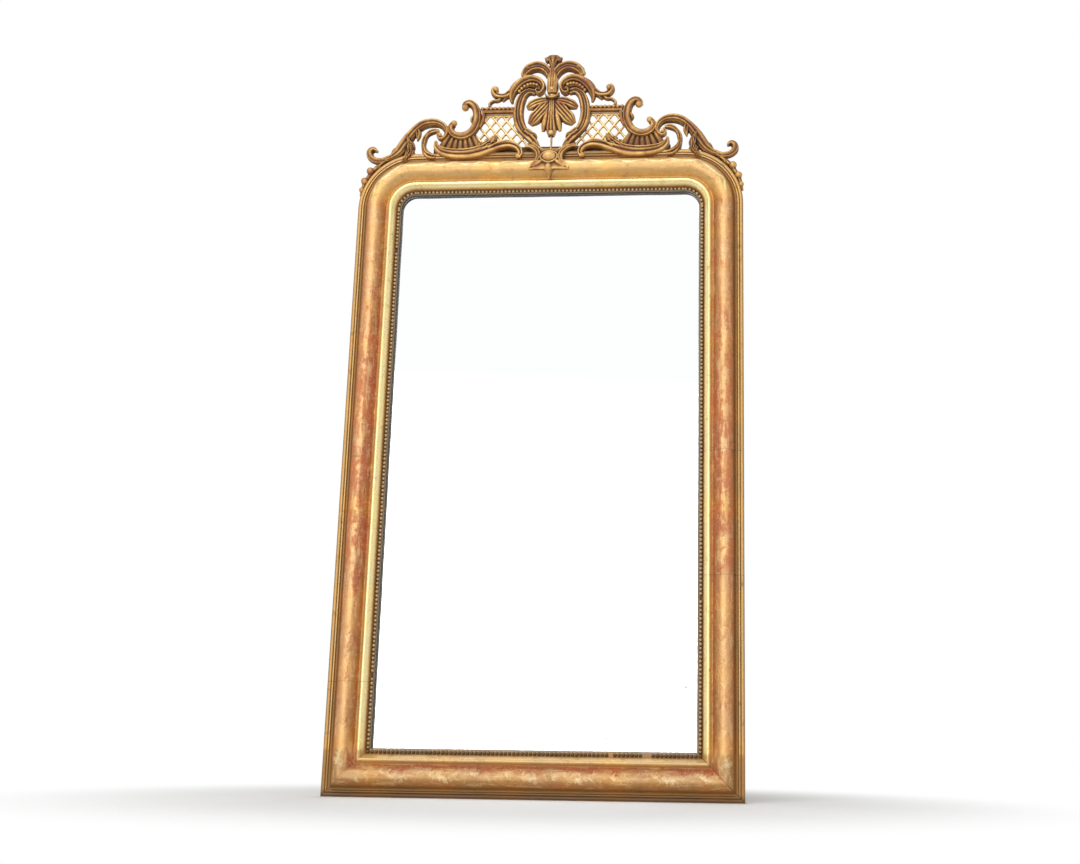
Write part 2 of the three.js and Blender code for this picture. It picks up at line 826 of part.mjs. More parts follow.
// Beaded bar on top of the lattice, which turns down beside the side scroll
function latticeBar() {
  const start = 96;
  const halfHeight = 4;
  const beadRadius = 5.9;
  const beadPitch = 11;
  const z = latticeTop + clearance + halfHeight;
  const corner = latticeEnd - 8;
  const bar = join(
    band({
      path: [[start, z], [corner + halfHeight, z]],
      halfWidth: [halfHeight, halfHeight],
      relief: [10, 10],
      steps: 1,
    }),
    band({
      path: [[corner, z], [corner, z - 16], [corner + 3, z - 30], [corner + 9, z - 43]],
      halfWidth: [halfHeight, halfHeight, 3],
      relief: [10, 11, 12],
      steps: 4,
    }),
  );
  const beads = [];
  for (let x = start + 8; x < latticeEnd; x += beadPitch) {
    const bead = new THREE.SphereGeometry(beadRadius, 6, 3).rotateX(Math.PI / 2);
    bead.translate(x, backPlane - ornamentDepth - beadRadius, crestDatum + latticeTop + 13);
    beads.push(toSolid(bead));
  }
  return fitTo(join(bar, ...beads), heartRight, sideScrollFitted, sprigFitted, fan);
}

const lattice = latticePanel();
const bar = latticeBar();

addPart("crest_rail", crestRail, "pine");
addPart("star_clasp", star, "gilt");
addPart("cabochon", cabochon, "gilt");
addPart("shell", shellFitted, "gilt");
addPart("top_palmette", palmetteFitted, "gilt");

const pairs = {
  heart_scroll: heartRight,
  shoulder_sprig: sprigFitted,
  lattice_panel: lattice,
  lattice_top_bar: bar,
  side_scroll: sideScrollFitted,
  gadroon_fan: fan,
  acanthus_scroll: acanthusFitted,
  arch_scroll: archFitted,
  inner_leaf: innerLeafFitted,
  end_volute: voluteFitted,
  berries: berriesFitted,
};

for (const [name, solid] of Object.entries(pairs)) {
  addPart(`${name}_left`, reflect(solid), "gilt");
  addPart(`${name}_right`, solid, "gilt");
}

// Iron straps that tie the crest rail to the top rail at the back
function crestStrap() {
  const top = crestDatum + crestRailHeight;
  const y = backPlane + clearance + strapThickness / 2;
  return box(strapWidth, strapThickness, strapLength, strapOffset, y, top - strapLength / 2);
}

addPart("crest_strap_left", reflect(crestStrap()), "iron");
addPart("crest_strap_right", crestStrap(), "iron");

// ---- Hangers ------------------------------------------------------------------------------------

const hangerX = frameWidth / 2 - hangerInset;
const hangerFace = backPlane + clearance + hangerPlateThickness;
const pivotY = hangerFace + hangerEyeRadius - 0.9;

function alongX(radius, length, segments) {
  return new THREE.CylinderGeometry(radius, radius, length, segments).rotateZ(Math.PI / 2);
}

function hangerPlate() {
  const y = backPlane + clearance + hangerPlateThickness / 2;
  const z = hangerHeight + hangerEyeRadius - hangerPlateLength / 2;
  const leaf = box(hangerPlateWidth, hangerPlateThickness, hangerPlateLength, hangerX, y, z);
  const eye = (radius, width) => (
    toSolid(alongX(radius, width, 14).translate(hangerX, pivotY, hangerHeight))
  );
  const webRoot = hangerFace - 0.5; // inside the leaf, so that the two join
  const web = box(
    hangerEyeWidth,
    pivotY - webRoot,
    2 * hangerEyeRadius - 3,
    hangerX,
    (pivotY + webRoot) / 2,
    hangerHeight,
  );
  return join(leaf, eye(hangerEyeRadius, hangerEyeWidth), web)
    .subtract(eye(ringWire / 2 + ringClearance, 2 * hangerEyeWidth));
}

// A D-shaped ring: its straight bar turns in the eye of the plate and the bow hangs below
function hangerRing() {
  const sides = 6;
  const bowRadius = ringHalfWidth - ringWire / 2;
  const bend = 5;
  const drop = ringDrop - ringWire / 2;
  const wire = new THREE.Path();
  wire.moveTo(-bowRadius + bend, 0);
  wire.lineTo(bowRadius - bend, 0);
  wire.absarc(bowRadius - bend, -bend, bend, Math.PI / 2, 0, true);
  wire.lineTo(bowRadius, bowRadius - drop);
  wire.absarc(0, bowRadius - drop, bowRadius, 0, -Math.PI, true);
  wire.lineTo(-bowRadius, -bend);
  wire.absarc(bend - bowRadius, -bend, bend, Math.PI, Math.PI / 2, true);
  const line = wire.getPoints(3).map((p) => new THREE.Vector3(p.x, 0, p.y));
  const knots = line.filter((p, i) => i === 0 || p.distanceTo(line[i - 1]) > 0.01);
  if (knots[0].distanceTo(knots[knots.length - 1]) < 0.01) {
    knots.pop();
  }
  const rings = knots.map((knot, i) => {
    const before = knots[(i + knots.length - 1) % knots.length];
    const after = knots[(i + 1) % knots.length];
    const toBefore = knot.clone().sub(before).normalize();
    const heading = after.clone().sub(knot).normalize().add(toBefore).normalize();
    const side = new THREE.Vector3(-heading.z, 0, heading.x);
    const stretch = 1 / Math.max(heading.dot(toBefore), 0.5);
    return Array.from({ length: sides }, (_, j) => {
      const angle = ((j + 0.5) / sides) * 2 * Math.PI;
      const point = knot.clone().addScaledVector(side, (ringWire / 2) * stretch * Math.cos(angle));
      point.x += hangerX;
      point.y += pivotY + (ringWire / 2) * Math.sin(angle);
      point.z += hangerHeight;
      return point;
    });
  });
  const flat = Array.from({ length: sides }, () => new THREE.Vector2());
  return loft(rings, flat, true);
}

addPart("hanger_plate_left", reflect(hangerPlate()), "iron");
addPart("hanger_plate_right", hangerPlate(), "iron");
addPart("hanger_ring_left", reflect(hangerRing()), "iron");
addPart("hanger_ring_right", hangerRing(), "iron");

export default mirror;
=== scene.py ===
"""Finishes of a gilt pier mirror: a water-gilt moulding over red bole, pearl courses round the
glass, and a pierced carved crest. Metres, +Z up, the front faces -Y, as in the frame."""

import math

import bmesh
import bpy
import numpy as np
from mathutils import Matrix, Vector


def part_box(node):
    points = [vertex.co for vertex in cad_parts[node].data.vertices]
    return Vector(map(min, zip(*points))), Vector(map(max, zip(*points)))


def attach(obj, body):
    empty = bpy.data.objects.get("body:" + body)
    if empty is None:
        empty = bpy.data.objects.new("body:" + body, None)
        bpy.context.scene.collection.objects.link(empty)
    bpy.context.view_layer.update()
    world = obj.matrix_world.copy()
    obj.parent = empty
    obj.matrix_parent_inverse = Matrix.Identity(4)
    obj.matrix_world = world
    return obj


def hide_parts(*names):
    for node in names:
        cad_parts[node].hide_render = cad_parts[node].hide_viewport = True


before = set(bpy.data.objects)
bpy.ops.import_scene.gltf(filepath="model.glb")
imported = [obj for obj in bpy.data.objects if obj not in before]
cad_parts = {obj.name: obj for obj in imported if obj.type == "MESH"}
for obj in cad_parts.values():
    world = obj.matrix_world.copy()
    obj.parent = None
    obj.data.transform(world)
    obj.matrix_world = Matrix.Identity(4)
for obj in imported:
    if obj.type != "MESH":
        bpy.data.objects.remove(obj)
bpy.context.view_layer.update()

# ---- Measures ---------------------------------------------------------------------------------

MM = 0.001
rail_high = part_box("bottom_rail")[1]
corner_low, corner_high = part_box("top_right_corner")
HALF_WIDTH = rail_high.x
MOULDING = rail_high.z  # width of the moulding, outer edge to sight edge
BACK = rail_high.y  # plane of the back faces
TOP = corner_high.z  # top of the top rail
CORNER = TOP - corner_low.z  # outer radius of the two top corners
HALF = HALF_WIDTH / MM
HIGH = TOP / MM
BEND = CORNER / MM
ORNAMENT = 29.6  # mm from the back plane to the flat backs of the carvings
VOXEL = 1.15 * MM  # grain of the carved pieces after the gesso coat

# Section of the moulding, in mm
RAIL = 110
SIDE_DEPTH = 45
CROWN_DEPTH = 68
INNER_BEAD_DEPTH = 53
LIP_DEPTH = 28
PEARL_SEAT_DEPTH = 31
OUTER_FILLET = 8.5
OUTER_BEAD = 5.6
COVE = 8.5
HOLLOW = 8
INNER_BEAD = 12
SLOPE = 7
PEARL_SEAT = 10.5
LIP = 2
REBATE_WIDTH = 10
REBATE_DEPTH = 20


# ---- Node trees -------------------------------------------------------------------------------


def tint(code):
    """Linear RGBA of a colour written as six hexadecimal digits"""
    channels = [int(code[i : i + 2], 16) / 255 for i in (0, 2, 4)]
    linear = [c / 12.92 if c <= 0.04045 else ((c + 0.055) / 1.055) ** 2.4 for c in channels]
    return (*linear, 1)


class Wire:
    """A socket's value in a node tree. Sums on it add Math nodes."""

    def __init__(self, tree, socket):
        self.tree = tree
        self.socket = socket

    def sum(self, operation, *values):
        return self.tree.add("ShaderNodeMath", {"operation": operation}, dict(enumerate(values)))

    def __add__(self, other):
        return self.sum("ADD", self, other)

    def __sub__(self, other):
        return self.sum("SUBTRACT", self, other)

    def __rsub__(self, other):
        return self.sum("SUBTRACT", other, self)

    def __mul__(self, other):
        return self.sum("MULTIPLY", self, other)

    def __truediv__(self, other):
        return self.sum("DIVIDE", self, other)

    def __abs__(self):
        return self.sum("ABSOLUTE", self)

    __radd__ = __add__
    __rmul__ = __mul__

    def sine(self):
        return self.sum("SINE", self)

    def upto(self, other):
        return self.sum("MINIMUM", self, other)

    def over(self, other):
        return self.sum("MAXIMUM", self, other)

    def between(self, low, high):
        """0 below low, 1 above high and a smooth rise between them"""
        settings = {"interpolation_type": "SMOOTHSTEP"}
        sockets = {"Value": self, "From Min": low, "From Max": high}
        return self.tree.add("ShaderNodeMapRange", settings, sockets)


class Tree:
    """A node tree being built: of a material, the world or a modifier. A colour is a wire or six
    hexadecimal digits."""

    def __init__(self, node_tree):
        self.nodes = node_tree.nodes
        self.links = node_tree.links
        self.nodes.clear()

    def add(self, kind, settings=None, sockets=None, output=0):
        node = self.nodes.new(kind)
        for key, value in (settings or {}).items():
            setattr(node, key, value)
        for key, value in (sockets or {}).items():
            if isinstance(value, Wire):
                self.links.new(value.socket, node.inputs[key])
            else:
                node.inputs[key].default_value = tint(value) if isinstance(value, str) else value
        return Wire(self, node.outputs[output]) if node.outputs else node

    def mix(self, factor, first, second, blend="MIX"):
        settings = {"data_type": "RGBA", "blend_type": blend}
        return self.add("ShaderNodeMix", settings, {0: factor, 6: first, 7: second}, output=2)

    def coated(self, colour, *coats):
        """The colour under coats of a mask and a tone, one over another"""
        for mask, tone in coats:
            colour = self.mix(mask, colour, tone)
        return colour

    def ramp(self, factor, stops):
        """The tone at a factor, between stops of a place and a tone"""
        tone_there = self.add("ShaderNodeValToRGB", {}, {"Fac": factor})
        elements = tone_there.socket.node.color_ramp.elements
        while len(elements) < len(stops):
            elements.new(1)
        for element, (place, tone) in zip(elements, stops):
            element.position = place
            element.color = tint(tone)
        return tone_there

    def noise(self, place, scale, detail=3, roughness=0.55):
        sockets = {"Vector": place, "Scale": scale, "Detail": detail, "Roughness": roughness}
        return self.add("ShaderNodeTexNoise", {}, sockets)

    def stretch(self, place, scale):
        return self.add("ShaderNodeMapping", {}, {"Vector": place, "Scale": scale})

    def object_place(self):
        return self.add("ShaderNodeTexCoord", output=3)

    def axis(self, place, which):
        return self.add("ShaderNodeSeparateXYZ", {}, {0: place}, output="XYZ".index(which))

    def attribute(self, name):
        return self.add("ShaderNodeAttribute", {"attribute_name": name}, output=2)

    def bump(self, height, distance, strength):
        sockets = {"Height": height, "Distance": distance, "Strength": strength}
        return self.add("ShaderNodeBump", {}, sockets)


def new_material(name):
    material = bpy.data.materials.new(name)
    material.use_nodes = True
    return material, Tree(material.node_tree)


def surface(name, paint):
    """A material whose Principled sockets are what paint(tree) returns"""
    material, tree = new_material(name)
    shader = tree.add("ShaderNodeBsdfPrincipled", {}, paint(tree))
    tree.add("ShaderNodeOutputMaterial", {}, {"Surface": shader})
    return material


# ---- Finishes ---------------------------------------------------------------------------------

# Tones across the moulding, by mm in from the outer edge: the gilding's own tones with painted
# light in them, a painted highlight on the inner bead, painted shade in the coves, the hollows, at
# the pearls' seat and at the sight edge, and grey on the lip that is partly a painted reflection of
# the glass
MOULDING_TONES_AND_PAINTED_LIGHT = [
    (0, "7a5a3a"), (2, "a98355"), (5, "c9a064"), (8, "b98f55"), (9.2, "5e4220"), (10.5, "cda566"),
    (12.5, "d9b274"), (15, "8f6a38"), (19, "8a6234"), (24, "9f6d3c"), (32, "bb8250"),
    (40, "d9a26a"), (46, "e2b078"), (52, "dca86c"), (60, "c08a54"), (68, "ad7744"),
    (73, "a67040"), (76, "c8995a"), (78.5, "f0d08c"), (84, "f8e0a0"), (92, "fdeab0"),
    (95, "d8b070"), (97, "a87c4e"), (98.6, "6a4a2c"), (104, "4d3720"), (106.5, "857a6a"),
    (108.6, "7c7262"), (109.2, "2e2418"), (110, "241c12"),
]
# Tones of the carvings from their edges to their deepest hollows: the palest stops are partly
# painted highlight, the darkest partly painted shade along with the patina of the hollows
CARVED_TONES_AND_PAINTED_LIGHT = [
    (0, "f8dc9c"), (0.24, "d4a660"), (0.46, "a2733a"), (0.62, "724a1e"), (0.8, "492c10"),
    (1, "2c1a0a"),
]
# Pearl tones from the seat to the front: the darkest are partly dirt and partly painted shade
PEARL_TONES_AND_SHADE = [(0, "2a1c10"), (0.4, "664a2c"), (0.75, "8c6c44"), (1, "b0946a")]
PINE_TONES = [(0, "b48a58"), (0.55, "9c7244"), (0.85, "7d5530"), (1, "6b4526")]
DEEP_BROWN = "3a2412"
HAIRLINES = [(1, 0.816), (1, 0.517), (-1, 0.262)]  # side of the frame (1 is right) and height
GLASS_SPOTS = [(0.354, 0.258, 0.0045), (-0.16, 0.548, 0.0022), (0.17, 0.139, 0.003)]  # x, z, radius
FINIAL = (TOP + 0.19, TOP + 0.27)  # heights that the finial dulls between


def hairline_cracks(tree, place):
    """Fine joints across the stiles"""
    waver = (tree.noise(place, 38, 2) - 0.5) * 0.006
    height = tree.axis(place, "Z") + waver
    total = None
    for hand, level in HAIRLINES:
        line = 1 - abs(height - level).between(0.0003, 0.0011)
        line = line * (tree.axis(place, "X") * hand).between(0.3, 0.31)
        total = line if total is None else total.over(line)
    return total * 0.35


def moulding_gilt(tree):
    """Leaf over red bole: rubbed through on the crown of the stiles, dull in the hollows. Its
    colour
    also holds painted light: a painted highlight on the inner bead, and painted shade in the
    hollows, on the bottom rail and under the crest
    """
    place = tree.object_place()
    profile = tree.add("ShaderNodeUVMap", {"uv_map": "profile"})
    across = tree.axis(profile, "Y") / MOULDING
    height = tree.axis(place, "Z")
    patches = tree.noise(place, 24, 6, 0.7)
    streaks = tree.noise(tree.stretch(profile, (15, 110, 1)), 1.0, 5, 0.7)
    specks = tree.noise(place, 180, 4, 0.7)
    flecks = tree.noise(place, 85, 5, 0.75)
    grime = tree.noise(place, 38, 6, 0.72)
    leaf_laps = tree.noise(tree.stretch(profile, (12.5, 0.5, 1)), 1.0, 0, 0)
    lasting = tree.noise(place, 34, 5, 0.7).between(0.46, 0.6)  # where the engraving keeps its leaf
    hairlines = hairline_cracks(tree, place)

    sheltered = height.between(TOP - 0.15, TOP - 0.1)
    low_rail = 1 - height.between(0.1, 0.114)
    crown = across.between(0.2, 0.28) * (1 - across.between(0.66, 0.71))
    gold = tree.coated(
        tree.ramp(across, [(u / RAIL, tone) for u, tone in MOULDING_TONES_AND_PAINTED_LIGHT]),
        (sheltered * crown * 0.8, "d2a968"),
        # the bottom rail darker: painted shade on its outer half, which faces down, and a darker
        # tan over its inner half
        (low_rail * (1 - across.between(0.36, 0.46)) * 0.7, "9c7036"),
        (low_rail * across.between(0.37, 0.44) * 0.75, "b98c54"),
    )

    # wear, less along the broken streak of gold that is kept up the middle
    kept = 1 - abs(across + (patches - 0.5) * 0.3 - 0.42).between(0.02, 0.12)
    kept = kept * (0.1 + 0.5 * lasting)
    mid_stile = height.between(0.3, 0.62) * (1 - height.between(0.95, 1.35))
    rubbed_rail = low_rail * across.between(0.5, 0.62)
    rubbing = 0.05 + 0.5 * mid_stile + 0.5 * rubbed_rail - 0.3 * sheltered
    worn = (patches - 0.5) * 2.8 + (streaks - 0.5) * 2.4 + rubbing - kept
    worn = worn.between(0.05, 0.7) * crown
    bole = tree.mix(across.between(0.44, 0.54), "cb7242", "a5502c")
    bole = tree.mix(specks.between(0.45, 0.6) * 0.6, bole, "c9785a")

    # the engraving, and swags scratched along the sheltered top
    cut = tree.attribute("cut") * (0.2 + 0.8 * lasting) * (0.36 + 0.64 * low_rail)
    waves = abs((tree.axis(profile, "X") * 46).sine()) * 0.07 + (patches - 0.5) * 0.08
    swags = 1 - abs(across - 0.3 - waves).between(0.005, 0.04)
    swags = swags * sheltered * (0.4 + 0.5 * lasting)

    # painted shadow under the crest, and darker near the floor
    crest_shadow = (1 - abs(tree.axis(place, "X")).between(0.24, 0.32)) * sheltered
    crest_shadow = crest_shadow * (1 - across.between(0.1, 0.2))
    by_floor = (1 - height.between(0.004, 0.024)) * 0.8
    colour = tree.coated(
        gold,
        (worn * 0.82, bole),
        (flecks.between(0.53, 0.64) * crown * 0.4, "eabd8a"),
        ((1 - streaks.between(0.36, 0.48)) * crown * 0.5, "e6bd8c"),
        (cut * crown, "f6dcae"),
        (swags, "fff2bc"),
        ((crest_shadow * 0.62).over(by_floor), "4a3018"),
    )
    colour = tree.mix((leaf_laps - 0.5) * 1.2 + 0.1, colour, "f0cf90", "SOFT_LIGHT")
    colour = tree.coated(
        colour,
        (grime.between(0.54, 0.72) * 0.5, "7d5a2e"),
        (specks.between(0.62, 0.72) * 0.6, DEEP_BROWN),
        (hairlines, DEEP_BROWN),
    )
    burnished = across.between(0.7, 0.73) * (1 - across.between(0.8, 0.83))
    relief = specks * 0.4 + patches * 0.5 + grime * 0.3 - hairlines * 2
    return {
        "Base Color": colour,
        "Metallic": (0.42 + 0.2 * burnished - 0.3 * worn) * (1 - 0.5 * low_rail),
        "Roughness": 0.42 - 0.16 * burnished + 0.22 * worn + 0.16 * grime.between(0.5, 0.8),
        "Normal": tree.bump(relief, 0.5 * MM, 0.6),
    }


def carved_gilt(tone_and_shade, ground=ORNAMENT, rise=13.0):
    """Gilding of the carvings: bright on the edges, partly rubbed gold and partly painted
    highlight;
    brown in the hollows, partly patina and partly painted shade; painted shade low down near the
    ground (a depth in mm); duller at the finial, and bare wood behind"""

    def paint(tree):
        place = tree.object_place()
        depth = tree.axis(place, "Y")
        hollow = tree.attribute("hollow")
        patches = tree.noise(place, 26, 6, 0.66)
        specks = tree.noise(place, 240, 4, 0.7)
        fibres = tree.noise(tree.stretch(place, (40, 40, 4)), 4, 4, 0.7)
        back = (depth - BACK + ground * MM).between(-0.9 * MM, -0.3 * MM)
        # painted shade low down, near the ground that the carving stands on
        low = 1 - ((BACK - ground * MM - depth) / (rise * MM)).between(0.1, 1.0)
        # bright edges, partly rubbed gold and partly painted highlight; brown hollows, partly
        # patina and partly painted shade
        age_and_shade = 0.5 + hollow.over(0) * 0.66 - (0 - hollow).over(0) * 0.3
        age_and_shade = age_and_shade + (patches - 0.5) * 0.7 + low * 0.3
        # a darkening of the whole material; on the gadroon fan it is painted shade
        age_and_shade = age_and_shade + tree.axis(place, "Z").between(*FINIAL) * 0.16 + tone_and_shade
        bole = (patches * 0.6 + specks * 0.5).between(0.56, 0.7) * (1 - hollow.between(0.1, 0.5))
        colour = tree.coated(
            tree.ramp(age_and_shade, CARVED_TONES_AND_PAINTED_LIGHT),
            (bole * 0.5, "b3694a"),
            (specks.between(0.66, 0.76) * 0.5, DEEP_BROWN),
            (back, tree.mix(fibres, "5c4226", "a07a4c")),
        )
        return {
            "Base Color": colour,
            "Metallic": (0.36 - 0.25 * age_and_shade.between(0.45, 0.8)) * (1 - back),
            "Roughness": 0.34 + 0.3 * age_and_shade.between(0.35, 0.85).over(back) + 0.1 * patches,
            "Normal": tree.bump(specks * 0.5 + patches * 0.5, 0.4 * MM, 0.6),
        }

    return paint


def pearl_gilt(tree):
    """Dark pearls with gold on their tops, darker toward their seats, partly dirt and partly
    painted shade, and darkest along the bottom rail, a painted shade
    """
    place = tree.object_place()
    depth = (BACK - PEARL_SEAT_DEPTH * MM) - tree.axis(place, "Y")
    patches = tree.noise(place, 60, 4, 0.65)
    specks = tree.noise(place, 420, 3, 0.7)
    # gold toward the pearls' fronts; toward their seats dark, partly dirt and partly painted shade
    gold_clear_of_dirt_and_shade = (depth / (5 * MM) + patches * 0.9 - 0.25).between(0.05, 0.9)
    # painted shade over the course along the bottom rail
    shaded_low_course = 1 - tree.axis(place, "Z").between(0.108, 0.116)
    colour = tree.coated(
        tree.ramp(gold_clear_of_dirt_and_shade, PEARL_TONES_AND_SHADE),
        (specks.between(0.6, 0.7) * 0.6, DEEP_BROWN),
        (shaded_low_course * 0.72, DEEP_BROWN),
    )
    return {
        "Base Color": colour,
        "Metallic": 0.45 * gold_clear_of_dirt_and_shade,
        "Roughness": 0.62 - 0.25 * gold_clear_of_dirt_and_shade,
        "Normal": tree.bump(specks, 0.3 * MM, 0.5),
    }


def silvered_glass(tree):
    """Silvering that has darkened in a thin line at the edge and in a few spots"""
    place = tree.object_place()
    height = tree.axis(place, "Z")
    edge = (HALF_WIDTH - MOULDING - abs(tree.axis(place, "X"))).upto(height - MOULDING)
    edge = edge.upto(TOP - MOULDING - height)
    ragged = edge + (tree.noise(place, 90, 4, 0.7) - 0.5) * 0.004
    foxing = 1 - ragged.between(-0.001, 0.0035)
    on_plane = tree.stretch(place, (1, 0, 1))
    for x, z, radius in GLASS_SPOTS:
        sockets = {0: on_plane, 1: (x, 0, z)}
        offset = tree.add("ShaderNodeVectorMath", {"operation": "DISTANCE"}, sockets, output=1)
        blurred = offset + (tree.noise(place, 300, 2) - 0.5) * 0.004
        foxing = foxing.over(1 - blurred.between(radius * 0.6, radius * 1.2))
    return {
        "Base Color": tree.mix(foxing * 0.62, "fdfefe", "5d564c"),
        "Metallic": 1.0 - 0.3 * foxing,
        "Roughness": 0.015 + 0.35 * foxing,
        "Normal": tree.bump(tree.noise(place, 2.5, 1), 0.05 * MM, 0.3),
    }


def pine(darkness, upright=False):
    """Bare aged pine with its grain along X, or up the piece, and darkening"""

    def paint(tree):
        place = tree.object_place()
        if upright:
            turn = (0, math.pi / 2, 0)
            place = tree.add("ShaderNodeMapping", {}, {"Vector": place, "Rotation": turn})
        bent = tree.noise(tree.stretch(place, (1.2, 1, 6)), 1.6, 3)
        fibres = tree.noise(tree.stretch(place, (5, 60, 340)), 1.0, 3, 0.7)
        settings = {"wave_type": "BANDS", "bands_direction": "Z", "wave_profile": "SAW"}
        sockets = {
            "Vector": tree.stretch(place, (0.06, 1, 1)),
            "Scale": 26, "Distortion": 9, "Detail": 3, "Detail Scale": 1.2,
        }
        rings = tree.add("ShaderNodeTexWave", settings, sockets, output=1)
        colour = tree.coated(
            tree.ramp(rings * 0.8 + bent * 0.2, PINE_TONES),
            (fibres.between(0.45, 0.8) * 0.5, "5a3b20"),
            (tree.noise(place, 5, 4).between(0.45, 0.75) * 0.4, "54402a"),
            (darkness + 0.05, "2b1c10"),
        )
        return {
            "Base Color": colour,
            "Roughness": 0.72 + 0.14 * fibres,
            "Normal": tree.bump(fibres * 0.7 + rings * 0.3, 0.4 * MM, 0.7),
        }

    return paint


def forged_iron(tree):
    place = tree.object_place()
    scale = tree.noise(place, 120, 5, 0.7)
    rust = tree.noise(place, 34, 5, 0.65).between(0.5, 0.68)
    return {
        "Base Color": tree.mix(rust * 0.75, tree.mix(scale, "2c2a28", "4d4843"), "6a3c22"),
        "Metallic": 0.85 - 0.7 * rust,
        "Roughness": 0.48 + 0.3 * rust + 0.1 * scale,
        "Normal": tree.bump(scale, 0.3 * MM, 0.7),
    }


def ochre_side(tree):
    """Sides of the moulding: yellow ochre wash over gesso, scuffed to brown"""
    place = tree.object_place()
    scuffs = tree.noise(tree.stretch(place, (1, 4, 0.6)), 26, 6, 0.7)
    specks = tree.noise(place, 190, 4, 0.7)
    wash = tree.mix(scuffs.between(0.35, 0.75), "9c7546", "54391f")
    return {
        "Base Color": tree.mix(specks.between(0.62, 0.72) * 0.6, wash, "2d1c0f"),
        "Roughness": 0.6 + 0.2 * scuffs,
        "Normal": tree.bump(scuffs * 0.6 + specks * 0.4, 0.4 * MM, 0.6),
    }


GILT = surface("gilt_moulding", moulding_gilt)
CARVED = surface("gilt_carving", carved_gilt(-0.02))
BROWNED = surface("gilt_carving_browned", carved_gilt(0.07))
# darker all over, with painted shade low down: the gadroon fan lies in shadow
SHADED_CARVING = surface("gilt_carving_shaded", carved_gilt(0.2, rise=10.0))
# a short band of painted shade near the ground darkens the sides of the lattice bars
LATTICE = surface("gilt_lattice", carved_gilt(-0.2, ORNAMENT - 5.3, 4.6))
PEARL = surface("gilt_pearls", pearl_gilt)
SILVER = surface("silvered_glass", silvered_glass)
PINE = surface("pine", pine(0.0))
UPRIGHT_PINE = surface("pine_upright", pine(0.06, upright=True))
BOARDS = [surface(f"pine_boards_{i}", pine(dark)) for i, dark in enumerate((0.3, 0.22, 0.36))]
# for the crest rail: dark old pine, darkened further as painted shade where it lies in the crest's
# shadow
DARK_SHADED_PINE = surface("pine_dark_and_shaded", pine(0.62))
IRON = surface("forged_iron", forged_iron)
SIDE = surface("ochre_side", ochre_side)


# ---- Meshes -----------------------------------------------------------------------------------


def place_object(name, data):
    piece = bpy.data.objects.new(name, data)
    bpy.context.scene.collection.objects.link(piece)
    return piece


def solid(name, points, faces, materials, smooth=True):
    """An object of a closed mesh whose faces are turned outwards"""
    mesh = bpy.data.meshes.new(name)
    mesh.from_pydata([tuple(p) for p in points], [], faces)
    shell = bmesh.new()
    shell.from_mesh(mesh)
    bmesh.ops.recalc_face_normals(shell, faces=shell.faces)
    shell.to_mesh(mesh)
    shell.free()
    for material in materials:
        mesh.materials.append(material)
    mesh.polygons.foreach_set("use_smooth", [smooth] * len(mesh.polygons))
    return place_object(name, mesh)


def skin(rings, size, closed=False):
    """Faces between rings of points that follow one another, and from the last to the first"""
    faces = []
    for ring in range(rings if closed else rings - 1):
        near, far = ring * size, (ring + 1) % rings * size
        for j in range(size):
            k = (j + 1) % size
            faces.append((near + j, near + k, far + k, far + j))
    return faces


def capped(rings, size):
    """Faces of a closed tube of rings of points"""
    last = (rings - 1) * size
    return [*skin(rings, size), tuple(range(size)), tuple(range(last, last + size))]


def joined(parts):
    """Points and faces of several closed shapes as one"""
    points, faces = [], []
    for part_points, part_faces in parts:
        faces.extend([tuple(k + len(points) for k in face) for face in part_faces])
        points.extend(part_points)
    return points, faces


def read(items, key, width, kind=float):
    """A value of every item, in rows of the width"""
    values = np.zeros(len(items) * width, kind)
    items.foreach_get(key, values)
    return values.reshape(-1, width)


def write_points(mesh, name, values):
    """A value at each point of the mesh, for its material to read"""
    attribute = mesh.attributes.new(name, "FLOAT", "POINT")
    attribute.data.foreach_set("value", np.array(values, np.float32))


def settled(piece):
    """The same piece with its modifiers worked into its mesh"""
    graph = bpy.context.evaluated_depsgraph_get()
    mesh = bpy.data.meshes.new_from_object(piece.evaluated_get(graph), depsgraph=graph)
    name = piece.name
    materials = list(piece.data.materials)
    bpy.data.objects.remove(piece)
    made = place_object(name, mesh)
    if not mesh.materials:
        for material in materials:
            mesh.materials.append(material)
    return made


def seat(piece, slot, *nodes, body="mirror"):
    """The piece rides on its body and stands for the nodes it replaces, which are hidden; its slot
    is not used
    """
    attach(piece, body)
    if nodes:
        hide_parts(*nodes)


# ---- Moulding ---------------------------------------------------------------------------------


def bezier(points, count):
    """Points along a Bezier curve, without the first"""
    t = np.linspace(0, 1, count + 1)[1:, None]
    layers = [np.tile(np.array(p, float), (count, 1)) for p in points]
    while len(layers) > 1:
        layers = [a + (b - a) * t for a, b in zip(layers, layers[1:])]
    return [tuple(p) for p in layers[0]]


